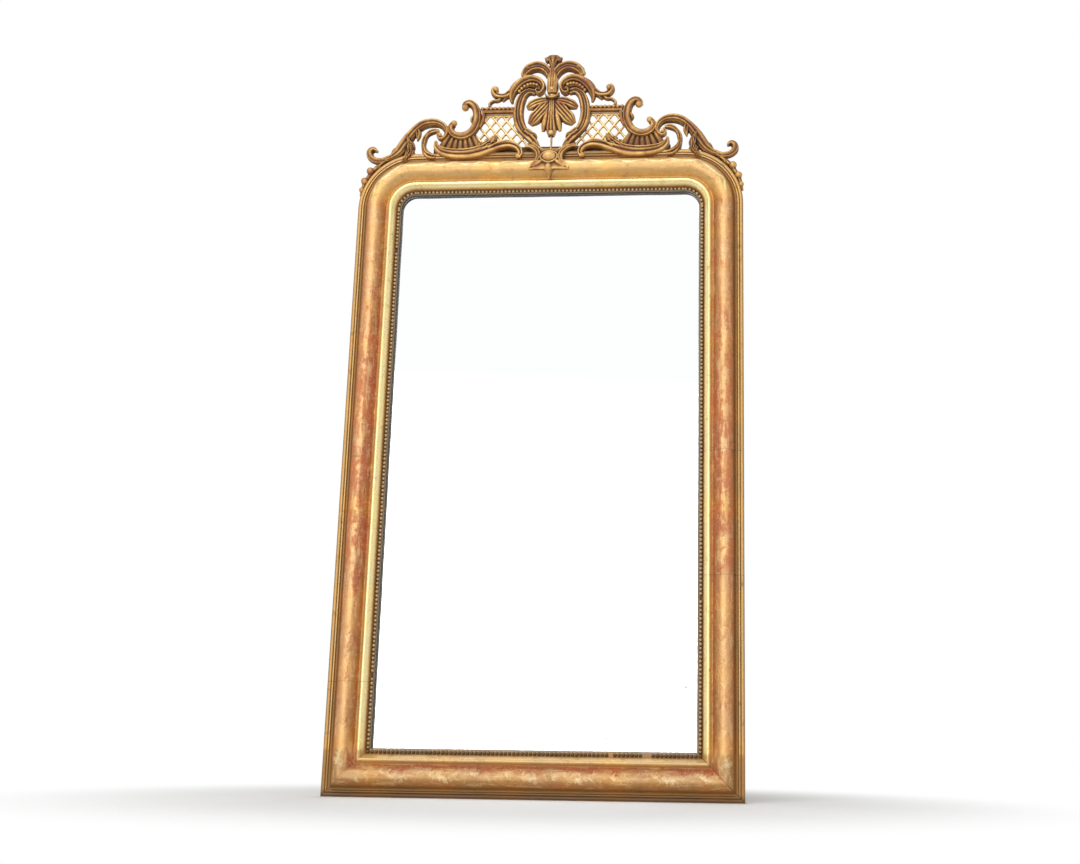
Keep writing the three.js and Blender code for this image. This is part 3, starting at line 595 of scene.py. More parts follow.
def moulding_section():
    """The outline, mm in from the outer edge and mm out from the back, and where its zones end"""
    bead_root = OUTER_FILLET + 1
    cove_start = bead_root + OUTER_BEAD
    crown_start = cove_start + COVE
    seat_start = RAIL - LIP - PEARL_SEAT
    bead_end = seat_start - SLOPE
    bead_start = bead_end - INNER_BEAD
    crown_end = bead_start - HOLLOW
    middle = (crown_start + crown_end) / 2
    line = [(0, 0), (0, 12), (0, 28), (0, SIDE_DEPTH - 2), (0.5, SIDE_DEPTH - 0.6)]
    side_end = len(line)

    def curve(count, *controls):
        line.extend(bezier([line[-1], *controls], count))

    line += [(1.5, SIDE_DEPTH), (5, SIDE_DEPTH), (OUTER_FILLET, SIDE_DEPTH)]
    line += [(OUTER_FILLET + 0.6, SIDE_DEPTH - 1.6), (bead_root, SIDE_DEPTH - 2.5)]
    bead_top = SIDE_DEPTH + 2.2
    curve(10, (bead_root, bead_top), (cove_start, bead_top), (cove_start, SIDE_DEPTH - 2))
    curve(7, (cove_start + 0.7 * COVE, SIDE_DEPTH - 5), (crown_start, SIDE_DEPTH + 3))
    engraved_start = len(line) - 1
    curve(30, (crown_start + 5, CROWN_DEPTH - 5), (middle - 10, CROWN_DEPTH), (middle, CROWN_DEPTH))
    curve(30, (middle + 11, CROWN_DEPTH), (crown_end - 4, CROWN_DEPTH - 9),
          (crown_end, INNER_BEAD_DEPTH - 3))
    engraved_end = len(line) - 1
    curve(8, (crown_end + 0.4 * HOLLOW, INNER_BEAD_DEPTH - 12), (bead_start, INNER_BEAD_DEPTH - 6))
    curve(12, (bead_start + 2, INNER_BEAD_DEPTH + 1), (bead_end - 2, INNER_BEAD_DEPTH + 2),
          (bead_end, INNER_BEAD_DEPTH - 7))
    line += [(seat_start - 3, PEARL_SEAT_DEPTH + 9.6), (seat_start - 0.5, PEARL_SEAT_DEPTH + 5)]
    line += [(seat_start, PEARL_SEAT_DEPTH), (RAIL - LIP, PEARL_SEAT_DEPTH)]
    line += [(RAIL - 0.6, LIP_DEPTH + 1.2), (RAIL, LIP_DEPTH), (RAIL, REBATE_DEPTH)]
    front_end = len(line) - 1
    line += [(RAIL - REBATE_WIDTH, REBATE_DEPTH), (RAIL - REBATE_WIDTH, 0)]
    return np.array(line), side_end, engraved_start, engraved_end, front_end


SECTION, SIDE_END, ENGRAVED_START, ENGRAVED_END, FRONT_END = moulding_section()
ENGRAVED_MIDDLE = 47
ENGRAVED_REACH = 24.5
REPEAT = 104.0  # mm, one repeat of the engraved foliage
STEM_SWING = 6.5
STROKE = 1.5
CUT_DEPTH = 0.6
FRONT_FADE = 25  # mm from a joint over which the face's hand-made waver starts
CUT_FADE = 8
FINE = 4  # columns of the engraved zone for each one of the plain zones
COLUMN = 5.8  # mm, width of a plain column
BEND_RUN = 98 * math.pi / 2  # how far round a top corner the engraving runs
MITRE_GAP = 0.42
OPEN_MITRE = 1.1  # at the foot of the right stile


def foliage_strokes():
    """Centre lines of the engraving in one repeat: a waving stem with a curl in each bend and
    slanting leaves on both of its sides"""
    chance = np.random.default_rng(5)
    t = np.linspace(0, 1, 220)
    strokes = [np.stack([t * REPEAT, STEM_SWING * np.sin(2 * np.pi * t)], 1)]
    reach = np.linspace(0, 1, 30)[:, None]
    for root_x in np.arange(2, REPEAT, 5.2):
        stem = STEM_SWING * math.sin(2 * math.pi * root_x / REPEAT)
        for hand in (-1, 1):
            lean = math.radians(chance.uniform(22, 60))
            length = chance.uniform(6, 13) * (1.25 if hand * stem > 0 else 0.8)
            root = np.array([root_x + chance.uniform(-1.5, 1.5), stem + hand])
            tip = np.array([math.cos(lean), hand * math.sin(lean)]) * length
            bow = np.array([1.5, -hand]) * np.sin(np.pi * reach)
            strokes.append(root + tip * reach + bow)
    for hand, start in ((1, 0.25), (-1, 0.75)):
        radius = 5.5 * (1 - reach) ** 0.8 + 1.2
        angle = hand * (math.pi * 0.75 - reach * 7)
        curl = np.concatenate([np.cos(angle), np.sin(angle)], 1) * radius
        strokes.append([start * REPEAT, -3.5 * hand] + curl)
    return np.concatenate(strokes)


def engraving(run, across, centre, spread):
    """Depth of cut, 0 to 1, at places along and across a rail in mm"""
    strokes = foliage_strokes()
    x = np.mod(run, REPEAT * spread) / spread
    y = (across - centre) / spread
    near = np.full(x.shape, 9.0)
    for shift in (-REPEAT, 0, REPEAT):
        for block in np.array_split(strokes + [shift, 0], 24):
            box_low = block.min(0) - 4
            box_high = block.max(0) + 4
            inside = (x > box_low[0]) & (x < box_high[0]) & (y > box_low[1]) & (y < box_high[1])
            if inside.any():
                gaps = np.hypot(
                    x[inside][:, None] - block[:, 0], y[inside][:, None] - block[:, 1]
                )
                near[inside] = np.minimum(near[inside], gaps.min(1))
    cut = np.exp(-((near * spread / STROKE) ** 2))
    wear = 0.72 + 0.28 * np.sin(run * 0.043 + 1.3) * np.sin(run * 0.0171 + across * 0.09)
    border = np.clip(1 - np.abs(across - ENGRAVED_MIDDLE) / ENGRAVED_REACH, 0, 1) ** 0.35
    return cut * wear * border


def sweep(name, place, length, columns, pattern, back=PINE):
    """A moulding rail. place(u, f) gives x and z of the section point u mm in, at the fraction f
    of the rail, and how far along the rail that is, all in mm."""
    offsets = np.gradient(SECTION, axis=0)
    offsets /= np.linalg.norm(offsets, axis=1)[:, None]
    sliver = 0.2 / length  # a thin column at each end keeps the end's shading off the face
    plain = np.concatenate([[0], np.linspace(sliver, 1 - sliver, columns - 1), [1]])
    fine = np.interp(np.linspace(0, columns, columns * FINE + 1), np.arange(columns + 1), plain)
    points, uvs, cuts, rows = [], [], [], []
    for i, ((u, depth), (slope_u, slope_depth)) in enumerate(zip(SECTION, offsets)):
        engraved = ENGRAVED_START <= i <= ENGRAVED_END
        f = fine if engraved else plain
        from_joint = np.minimum(f, 1 - f) * length
        run = place(u, f)[2]
        level = np.full_like(run, u)
        cut = engraving(run, level, *pattern) if engraved else np.zeros_like(f)
        cut = cut * np.clip(from_joint / CUT_FADE, 0, 1)
        waver = 0.25 * np.sin(run * 0.011 + u * 0.05) * np.sin(run * 0.037 + u * 0.11 + 1.1)
        waver = waver * np.clip(from_joint / FRONT_FADE, 0, 1) * (SIDE_END < i < FRONT_END)
        rise = waver - CUT_DEPTH * cut
        x, z, _ = place(u - slope_depth * rise, f)
        y = BACK / MM - (depth + slope_u * rise)
        rows.append(range(len(points), len(points) + len(f)))
        points.extend(np.stack([x, y, z], 1) * MM)
        uvs.extend(np.stack([run, level], 1) * MM)
        cuts.extend(cut)
    faces, marks = [], []
    for i, near in enumerate(rows):
        far = rows[(i + 1) % len(rows)]
        count = min(len(near), len(far)) - 1
        step, stride = (len(near) - 1) // count, (len(far) - 1) // count
        for j in range(count):
            low = near[j * step : (j + 1) * step + 1]
            high = far[j * stride : (j + 1) * stride + 1]
            faces.append((*low, *high[::-1]))
        marks += [1 if i < SIDE_END else 0 if i < FRONT_END else 2] * count
    for column in (0, -1):
        faces.append(tuple(row[column] for row in rows))
        marks.append(2)
    piece = solid(name, points, faces, [GILT, SIDE, back])
    mesh = piece.data
    mesh.polygons.foreach_set("material_index", marks)
    mesh.polygons.foreach_set("use_smooth", [mark == 0 for mark in marks])
    corner_points = read(mesh.loops, "vertex_index", 1, int).ravel()
    layer = mesh.uv_layers.new(name="profile")
    layer.data.foreach_set("uv", np.array(uvs)[corner_points].astype(np.float32).ravel())
    write_points(mesh, "cut", cuts)
    return piece


def stile_place(hand):
    def place(u, f):
        foot = u + (MITRE_GAP if hand < 0 else OPEN_MITRE)
        z = foot + (HIGH - BEND - foot) * f
        return hand * (HALF - u) + 0 * f, z, z

    return place


def corner_place(hand):
    def place(u, f):
        angle = f * math.pi / 2
        radius = BEND - u
        x = HALF - BEND + radius * np.cos(angle)
        z = HIGH - BEND + radius * np.sin(angle)
        return hand * x, z, HIGH - BEND + f * BEND_RUN

    return place


def bottom_place(u, f):
    x = (HALF - u) * (2 * f - 1)
    return x, u + 0 * f, x + HALF


def top_place(u, f):
    x = (HALF - BEND) * (2 * f - 1)
    return x, HIGH - u + 0 * f, HIGH - BEND + BEND_RUN + HALF - BEND - abs(x)


def mouldings():
    """Each rail with its length, and the middle and spread of its engraving"""
    tall, wide, inner = HIGH - BEND, 2 * HALF, 2 * (HALF - BEND)
    rails = {
        "bottom_rail": (bottom_place, wide, int(wide / COLUMN), (54, 1.0)),
        "top_rail": (top_place, inner, int(inner / COLUMN), (37, 0.62)),
    }
    for side, hand in (("left", -1), ("right", 1)):
        rails[f"{side}_stile"] = (
            stile_place(hand), tall, int(tall / COLUMN), (47, 1.0), UPRIGHT_PINE
        )
        rails[f"top_{side}_corner"] = (corner_place(hand), 231, 34, (44, 1.0))
    for node, rail in rails.items():
        seat(sweep(f"gilded_{node}", *rail), "gilt", node)


# ---- Rows of pearls and nails -------------------------------------------------------------------


def studs_tree():
    """Geometry nodes: round studs along a path, each a little different, a few of them lost"""
    group = bpy.data.node_groups.new("studs", "GeometryNodeTree")
    kinds = {"Geometry": "Geometry", "Seed": "Int", "Material": "Material"}
    inputs = {}
    for name in ("Geometry", "Pitch", "Width", "Height", "Lost", "Seed", "Material"):
        kind = f"NodeSocket{kinds.get(name, 'Float')}"
        inputs[name] = group.interface.new_socket(name=name, in_out="INPUT", socket_type=kind)
    group.interface.new_socket(name="Geometry", in_out="OUTPUT", socket_type="NodeSocketGeometry")
    tree = Tree(group)
    source = tree.nodes.new("NodeGroupInput")
    value = {name: Wire(tree, source.outputs[name]) for name in inputs}
    path = tree.add("GeometryNodeMeshToCurve", {}, {"Mesh": value["Geometry"]})
    points = tree.add(
        "GeometryNodeResampleCurve", {"mode": "LENGTH"}, {"Curve": path, "Length": value["Pitch"]}
    )
    stud = tree.add("GeometryNodeMeshUVSphere", {}, {"Segments": 10, "Rings": 6, "Radius": 0.5})
    size = tree.add(
        "FunctionNodeRandomValue", {"data_type": "FLOAT"},
        {2: 0.9, 3: 1.03, "Seed": value["Seed"]}, output=1,
    )
    kept = tree.add(
        "FunctionNodeRandomValue", {"data_type": "BOOLEAN"},
        {"Probability": 1 - value["Lost"], "Seed": value["Seed"] + 5}, output=3,
    )
    width = value["Width"] * size
    scale = tree.add(
        "ShaderNodeCombineXYZ", {}, {0: width, 1: 2 * value["Height"] * size, 2: width}
    )
    placed = tree.add(
        "GeometryNodeInstanceOnPoints", {},
        {"Points": points, "Selection": kept, "Instance": stud, "Scale": scale},
    )
    real = tree.add("GeometryNodeRealizeInstances", {}, {"Geometry": placed})
    soft = tree.add("GeometryNodeSetShadeSmooth", {}, {0: real})
    sockets = {"Geometry": soft, "Material": value["Material"]}
    done = tree.add("GeometryNodeSetMaterial", {}, sockets)
    tree.add("NodeGroupOutput", {}, {"Geometry": done})
    return group, {name: socket.identifier for name, socket in inputs.items()}


STUDS, STUD_INPUTS = studs_tree()


def studs(name, path, material, **values):
    """A row of studs along a path of points in metres"""
    mesh = bpy.data.meshes.new(name)
    mesh.from_pydata([tuple(p) for p in path], [(i, i + 1) for i in range(len(path) - 1)], [])
    piece = place_object(name, mesh)
    modifier = piece.modifiers.new("studs", "NODES")
    modifier.node_group = STUDS
    for key, value in {**values, "Material": material}.items():
        modifier[STUD_INPUTS[key]] = value
    return settled(piece)


def pearl_courses():
    pitch, width, height = 9.8, 9.3, 5.4
    line = RAIL - LIP - PEARL_SEAT / 2
    y = BACK / MM - PEARL_SEAT_DEPTH
    radius = BEND - line
    paths = {}
    for side, hand in (("left", -1), ("right", 1)):
        x = hand * (HALF - line)
        paths[f"pearls_{side}"] = [(x, y, line + pitch * 0.9), (x, y, HIGH - BEND - pitch * 0.3)]
        paths[f"pearls_top_{side}_corner"] = [
            (hand * (HALF - BEND + radius * math.cos(a)), y, HIGH - BEND + radius * math.sin(a))
            for a in np.linspace(0.06, math.pi / 2 - 0.06, 30)
        ]
    end = HALF - line
    paths["pearls_bottom"] = [(-end, y, line), (end, y, line)]
    end = HALF - BEND - pitch * 0.4
    paths["pearls_top"] = [(-end, y, HIGH - line), (end, y, HIGH - line)]
    for seed, (node, path) in enumerate(paths.items()):
        piece = studs(
            f"gilded_{node}", np.array(path) * MM, PEARL, Pitch=pitch * MM, Width=width * MM,
            Height=height * MM, Lost=0.035 if node == "pearls_bottom" else 0.012, Seed=seed + 3,
        )
        seat(piece, "worn_gilt", node)


# ---- Carving ----------------------------------------------------------------------------------
# Places in the crest are x and z in mm, with z counted up from the top of the top rail. The right
# half is carved and the left half is its reflection.

ACROSS = np.linspace(-1, 1, 29)[None, :]


def padded(values):
    """The values with one more at each end that goes on in the same direction"""
    v = np.array(values, float)
    return np.concatenate([[2 * v[0] - v[1]], v, [2 * v[-1] - v[-2]]])


def even_spline(knots, count):
    """Evenly spaced points on a centripetal spline through the knots"""
    p = padded(knots)
    f = np.linspace(0, 1, 25)[:-1, None]
    dense = []
    for a, b, c, d in zip(p, p[1:], p[2:], p[3:]):
        ab, bc, cd = (math.sqrt(np.linalg.norm(k)) for k in (b - a, c - b, d - c))
        m1 = ((b - a) / ab - (c - a) / (ab + bc) + (c - b) / bc) * bc
        m2 = ((c - b) / bc - (d - b) / (bc + cd) + (d - c) / cd) * bc
        dense.append(
            b + m1 * f + (-3 * b + 3 * c - 2 * m1 - m2) * f**2 + (2 * b - 2 * c + m1 + m2) * f**3
        )
    dense = np.concatenate([*dense, p[-2:-1]])
    run = np.concatenate([[0], np.cumsum(np.linalg.norm(np.diff(dense, axis=0), axis=1))])
    even = np.linspace(0, run[-1], count)
    return np.stack([np.interp(even, run, dense[:, k]) for k in (0, 1)], 1)


def along(values, t):
    """Smooth value at t of a list of values spread evenly from 0 to 1"""
    v = padded(values)
    place = t * (len(values) - 1)
    i = np.clip(np.floor(place).astype(int), 0, len(values) - 2)
    f = place - i
    a, b, c, d = v[i], v[i + 1], v[i + 2], v[i + 3]
    return b + 0.5 * f * (c - a + f * (2 * a - 5 * b + 4 * c - d + f * (3 * (b - c) + d - a)))


def dome(a, t):
    return np.sqrt(np.clip(1 - 0.9 * a * a, 0, 1)) + 0 * t


def rolls(*ridges, crease=0.18, shoulder=6):
    """A section of rounded ridges side by side: the middle, half width and height of each"""

    def section(a, t):
        ridge = [high - crease * ((a - middle) / half) ** 2 for middle, half, high in ridges]
        return np.maximum.reduce(ridge) * (1 - 0.5 * np.abs(a) ** shoulder) + 0 * t

    return section


def fingers(count, crease=0.2, hollow=0.0):
    """Equal ridges side by side; hollow lowers the middle ones"""
    middles = np.linspace(-1, 1, 2 * count + 1)[1::2]
    return rolls(*((m, 1 / count, 1 - hollow * (1 - abs(m))) for m in middles), crease=crease)


FILLETS = rolls((-0.5, 0.5, 1.0), (0.5, 0.5, 1.0), crease=0.3)
FLAT = rolls((0, 1, 1), crease=0.06, shoulder=14)


class Leaf:
    """An acanthus leaf: lobes with notched edges and a groove running in from each notch"""

    def __init__(self, lobes, groove=0.2, notch=0.22, veins=0.07, side=0):
        self.lobes, self.groove, self.notch = lobes, groove, notch
        self.veins, self.side = veins, side

    def valley(self, a, t):
        phase = self.lobes * t - 0.9 * np.abs(a) + 0.5
        return (0.5 + 0.5 * np.cos(2 * np.pi * phase)) ** 3

    def weight(self, a):
        """How far the lobes reach on each side of the leaf"""
        return 1.0 if self.side == 0 else np.clip(0.5 + 2 * self.side * a, 0, 1)

    def __call__(self, a, t):
        cut = self.groove * np.abs(a) ** 0.7 * self.valley(a, t) * self.weight(a)
        veins = self.veins * np.cos(np.pi * 5 * a) * (1 - a * a)
        return dome(a, t) * (1 - cut + veins)

    def edge(self, a, t):
        return 1 - self.notch * self.valley(1.0, t) * self.weight(a)


def ribbon(path, half_width, relief, section=dome, count=90, lift=0, seat_depth=ORNAMENT, floor=0):
    """A carved band along a path: its points in metres and its faces. It is flat at the back.
    seat_depth is a depth in mm or a function of z that gives it, and floor sinks the back."""
    middle = even_spline(path, count)
    heading = np.gradient(middle, axis=0)
    heading /= np.linalg.norm(heading, axis=1)[:, None]
    t = np.linspace(0, 1, count)[:, None]
    reach = ACROSS * along(half_width, t)
    if hasattr(section, "edge"):
        reach = reach * section.edge(ACROSS, t)
    x = middle[:, :1] - heading[:, 1:] * reach
    z = middle[:, 1:] + heading[:, :1] * reach
    up = lift + section(ACROSS, t) * along(relief, t)
    base = seat_depth(z) if callable(seat_depth) else np.full_like(z, seat_depth)
    front = np.stack([x, BACK / MM - base - up, HIGH + z], 2)
    back = np.stack([x, BACK / MM - base + floor, HIGH + z], 2)[:, ::28]
    rings = np.concatenate([front, back[:, ::-1]], 1)
    return rings.reshape(-1, 3) * MM, capped(count, rings.shape[1])


def ball(radius, x, z, lift=0, squash=1.0, seat_depth=ORNAMENT, tall=1.0):
    """A boss or bead resting on the carving's back plane"""
    shell = bmesh.new()
    bmesh.ops.create_uvsphere(shell, u_segments=28, v_segments=18, radius=radius)
    points = np.array([v.co for v in shell.verts]) * [1, squash, tall]
    faces = [tuple(v.index for v in f.verts) for f in shell.faces]
    shell.free()
    points += [x, BACK / MM - seat_depth - lift - radius * squash, HIGH + z]
    return points * MM, faces


def both(*parts):
    """The parts and their reflections in the crest's middle"""
    return [*parts, *((points * [-1, 1, 1], faces) for points, faces in parts)]


def hollow_of(mesh):
    """How hollow the surface is at each point, from -1 on an edge to 1 in a groove"""
    rounds, full = 26, 1.5 * MM
    points = read(mesh.vertices, "co", 3)
    normals = read(mesh.vertices, "normal", 3)
    near, far = read(mesh.edges, "vertices", 2, int).T
    count = len(points)
    degree = np.bincount(near, minlength=count) + np.bincount(far, minlength=count)
    smooth = points
    for _ in range(rounds):
        total = [
            np.bincount(near, smooth[far, k], count) + np.bincount(far, smooth[near, k], count)
            for k in range(3)
        ]
        smooth = np.stack(total, 1) / np.maximum(degree, 1)[:, None]
    return np.clip(((smooth - points) * normals).sum(1) / full, -1, 1)


def carve(name, parts, material):
    """One piece from overlapping carved parts, joined under its gesso"""
    piece = solid(name, *joined(parts), [material])
    coat = piece.modifiers.new("gesso", "REMESH")
    coat.mode = "VOXEL"
    coat.voxel_size = VOXEL
    coat.use_smooth_shade = True
    rub = piece.modifiers.new("polish", "SMOOTH")
    rub.factor = 0.5
    rub.iterations = 4
    piece = settled(piece)
    write_points(piece.data, "hollow", hollow_of(piece.data))
    return piece


def reflected(piece, name):
    mesh = piece.data.copy()
    mesh.transform(Matrix.Diagonal((-1, 1, 1, 1)))
    mesh.flip_normals()
    return place_object(name, mesh)


# ---- Crest --------------------------------------------------------------------------------------
# Each band has its path, its half widths and reliefs spread along it, its section and its count of
# points.


def heart_scroll():
    ring = [
        (44, 167), (60, 170), (74, 160), (82, 143), (86, 122), (86, 102), (82, 82), (73, 63),
        (58, 45), (43, 29), (34, 11),
    ]
    hood = [
        (38, 173), (41, 167), (34, 163), (27, 169), (24, 181), (29, 193), (40, 201), (57, 204),
        (75, 198), (91, 186), (102, 170), (106, 153), (104, 139),
    ]
    outer_fillet = [(99, 118), (96, 92), (88, 69), (72, 50), (54, 36), (44, 22), (36, 8)]
    beads = [(40, 185), (48, 187.5), (56, 188), (64, 186), (72, 181.5), (79, 175.5), (85, 168)]
    return [
        ribbon(ring, [7, 9, 12, 13, 13, 13, 12, 11, 10, 8],
               [15, 18, 20, 20, 20, 19, 18, 18, 17, 14],
               rolls((-0.6, 0.4, 0.96), (0.1, 0.3, 0.84), (0.7, 0.28, 1.0)), 150),
        ribbon(hood, [3, 4.5, 6, 7.5, 8.5, 9.5, 10.5, 11, 12, 12, 10, 7, 3],
               [26, 25, 24, 24, 25, 26, 27, 27, 26, 25, 22, 18, 12],
               rolls((0.3, 0.66, 1.0), (-0.68, 0.3, 0.86)), 170),
        ribbon([(78, 200), (94, 190), (106, 176), (113, 162)], [5, 9, 9, 7, 2],
               [22, 24, 22, 19, 12], Leaf(3, side=-1), 70),
        ribbon([(66, 62), (53, 52), (42, 49), (38, 41)], [8, 9, 6, 2], [19, 18, 15, 9],
               fingers(2), 50),
        ribbon([(44, 27), (31, 13), (16, 6), (2, 5)], [4.5, 5, 4.5, 4], [17, 16, 15, 14], dome, 60),
        ribbon(outer_fillet, [3, 3.4, 3.6, 3.8, 4, 4, 3.5], [17, 17, 17, 17, 16, 15], dome, 100),
        ribbon([(42, 184), (58, 187), (74, 180), (86, 166)], [5, 6, 6, 4], [16, 17, 17, 15],
               FLAT, 60),
        ball(11, 35, 173, 0, 0.85),
        *(ball(4.2, x, z, 13.5) for x, z in beads),
    ]


def palmette():
    stem = [(0, 164), (0, 196), (0, 222), (0, 248)]
    leaf = [(4, 204), (16, 228), (36, 240), (57, 237), (71, 226), (77, 214)]
    folds = rolls((0.6, 0.4, 1.0), (0, 0.26, 0.86), (-0.5, 0.26, 0.86), (-0.84, 0.2, 0.7))
    return [
        ribbon(stem, [13, 15, 15, 14, 11, 9, 9], [20, 25, 26, 24, 22, 20], fingers(5, 0.14), 90),
        ribbon([(0, 240), (0, 258), (0, 274)], [8, 10, 14, 18, 19, 12], [21, 21, 20, 17, 10],
               rolls((-0.66, 0.36, 0.88), (0, 0.36, 1), (0.66, 0.36, 0.88)), 60),
        ball(6.6, 0, 173, 12, tall=0.9),
        *both(
            ribbon([(12, 254), (18, 262), (23, 267)], [6, 6, 1.5], [18, 15, 9], dome, 30),
            ribbon(leaf, [8, 12, 13.5, 14, 13, 8], [22, 23, 22, 21, 20, 16], folds, 110),
            ribbon([(62, 236), (74, 232), (81, 219)], [5, 7, 5], [19, 18, 12],
                   Leaf(2, notch=0.3), 40),
        ),
    ]


def shell():
    cup = [(-19, 163), (-12, 152), (0, 147.5), (12, 152), (19, 163)]
    parts = [
        ribbon(cup, [1.6, 3, 3.6, 3, 1.6], [20, 25, 26, 25, 20], dome, 60),
        ribbon([(0, 160), (0, 146)], [13, 9], [16, 18], dome, 24),
        ribbon([(0, 50), (0, 30), (0, 6)], [3, 2.6, 2.6], [13, 12, 12], dome, 40),
        ribbon([(0, 148), (0, 100), (0, 45)], [7, 8, 8.5, 9, 9.5, 12, 13, 8],
               [15, 18, 21, 22, 22, 19, 10], fingers(3), 90, lift=2),
        ball(7, 0, 52, 9),
    ]
    lobes = (
        ((34, 140), (66, 126), 12.5, 3), ((28, 113), (57, 80), 17, 4), ((13, 104), (22, 60), 8.5, 1)
    )
    for knee, tip, wide, ridges in lobes:
        parts += both(ribbon([(3, 147), knee, tip], [6, wide * 0.75, wide, wide, wide, wide * 0.45],
                             [14, 17, 20, 21, 19, 9], fingers(ridges, 0.22, 0.12), 80))
    return parts


def shoulder_sprig():
    stem = [(97, 182), (109, 169), (122, 160), (136, 159), (147, 164), (152, 175), (148, 182)]
    tendril = [(130, 156), (141, 148), (154, 147), (163, 139), (163, 131)]
    return [
        ribbon(stem, [7, 10, 9.5, 7.5, 8.5, 10, 9], [16, 18, 18, 18, 18, 19, 19],
               rolls((-0.4, 0.5, 1.0), (0.6, 0.4, 0.86)), 100),
        ball(8.5, 148, 177, 3),
        ribbon([(114, 168), (123, 157), (129, 145)], [7, 8, 6, 2], [17, 16, 13, 8], fingers(2), 50),
        ribbon(tendril, [4, 4.5, 4.5, 4.5, 4], [12, 14, 13, 13, 12], dome, 60),
    ]


def side_scroll():
    path = [
        (228, 127), (226, 137), (216, 141), (204, 134), (197, 121), (194, 106), (194, 90),
        (199, 73), (210, 58), (228, 49), (246, 51), (259, 61), (262, 74), (256, 84),
    ]
    return [
        ribbon(path, [7.5, 9, 10, 11, 11, 11, 11, 11, 10, 9, 8], [18, 20, 21, 21, 20, 20, 20, 17],
               rolls((0.28, 0.72, 1.0), (-0.76, 0.26, 0.94)), 170),
        ball(9.5, 225, 127, 3),
        ball(8.4, 253, 84, 3),
        ribbon([(199, 106), (207, 96), (206, 86)], [4, 6, 2], [17, 18, 11], dome, 30),
    ]


def gadroon_fan():
    parts = []
    for degrees in (-118, -108, -98, -88, -78, -68, -57):
        angle = math.radians(degrees)
        ray = [(232 + r * math.cos(angle), 103 + r * math.sin(angle)) for r in (54, 76, 98)]
        rib = rolls((0, 1, 1), crease=0.3)
        parts.append(ribbon(ray, [4.6, 7, 8.6, 9], [9, 12, 12, 8], rib, 50))
    return parts


def acanthus():
    main = [
        (299, 36), (297, 20), (286, 6), (268, -3), (240, -8), (210, -8), (178, -1), (152, 9),
        (128, 17), (104, 19), (84, 10), (77, -5), (83, -16),
    ]
    rib = [(294, 26), (280, 14), (256, 7), (226, 5), (196, 9), (170, 20)]
    return [
        ribbon(main, [4, 9, 12, 13, 14, 15, 14, 12, 10, 9.5, 9, 8],
               [17, 22, 26, 28, 28, 28, 26, 26, 26, 25],
               rolls((-0.62, 0.4, 1.0), (0.34, 0.62, 0.92), crease=0.14), 240),
        ribbon(rib, [3, 4, 4.5, 5, 5, 6, 6], [20, 25, 28, 29, 29, 28, 24], dome, 120),
        ribbon([(190, 4), (172, 17), (156, 31), (142, 50)], [13, 18, 18, 14, 3],
               [26, 27, 25, 20, 12], Leaf(3, groove=0.26, notch=0.26, veins=0.1), 90),
        ribbon([(160, 8), (136, 22), (108, 28), (86, 20)], [3, 4.5, 4.5, 3], [26, 28, 28, 25],
               dome, 80),
        ball(7.6, 82, -12, 9),
    ]


def arch_scroll():
    arch = [
        (288, 58), (294, 50), (287, 42), (277, 47), (272, 60), (278, 75), (291, 85), (312, 88),
        (333, 83), (352, 69), (369, 49), (383, 26), (397, 6), (414, -7), (430, -13),
    ]
    foot = [(372, 46), (366, 26), (365, 5), (373, -12), (383, -21)]
    return [
        ribbon(arch, [3, 4, 5.5, 7.5, 9, 10.5, 11, 11, 11.5, 13, 15, 15, 13, 9, 7],
               [22, 21, 20, 20, 20, 22, 23, 23, 22, 21, 20, 20, 19, 18, 17],
               rolls((0.48, 0.5, 1.0), (-0.26, 0.34, 0.94), (-0.8, 0.22, 0.8)), 210),
        ball(5, 287, 50, 14),
        ribbon([(352, 74), (346, 60), (348, 39)], [7, 8, 6, 1.5], [20, 19, 15, 9], fingers(2), 50),
        ribbon(foot, [7, 12, 13, 12, 6], [20, 22, 24, 25, 22],
               Leaf(3, groove=0.22, veins=0.12), 90),
        ribbon([(392, 20), (405, 13), (415, 1)], [3, 6, 2], [18, 17, 12], dome, 30),
    ]


def inner_leaf():
    leaf = [(291, 66), (310, 64), (325, 51), (331, 30), (326, 9), (313, -6), (296, -11)]
    return [
        ribbon(leaf, [4, 7, 5.5, 7, 6, 9, 11, 7], [14, 16, 16, 17, 20, 23, 22], fingers(2), 120),
        ribbon([(330, 26), (322, 4), (304, -8)], [3, 5, 3], [20, 24, 24], dome, 40),
    ]


def end_volute():
    path = [(418, -7), (438, -16), (457, -13), (469, -2), (470, 10), (461, 17), (450, 12)]
    return [
        ribbon(path, [8, 8, 8, 8, 8.5, 9, 8.5, 6.5, 3], [16, 18, 19, 19, 20, 20, 17],
               rolls((0.3, 0.7, 1.0), (-0.74, 0.28, 0.9)), 130),
    ]


def corner_spot(degrees, offset):
    """The place at an angle round a top corner, offset mm outside its edge"""
    angle = math.radians(degrees)
    radius = BEND + offset
    return (HALF - BEND + radius * math.cos(angle), radius * math.sin(angle) - BEND)


def berries():
    leaf = [corner_spot(d, o) for d, o in ((56, 8), (47, 8), (37, 7), (26, 5), (14, 3))]
    bunch = ((9.8, 40, 12.5), (9.4, 29, 8.5), (7.2, 20, 4.5))
    return [
        ribbon(leaf, [4, 8, 7, 8, 6, 3], [13, 15, 15, 15, 11], Leaf(4, notch=0.3), 80),
        *(ball(radius, *corner_spot(degrees, offset), 2) for radius, degrees, offset in bunch),
    ]


def clasp_seat(z):
    """Depth of the clasp's ground over the top rail"""
    return np.interp(z, [-80, -60, -38, -18, 4, 20], [58, 69, 69, 58, 47, 41])


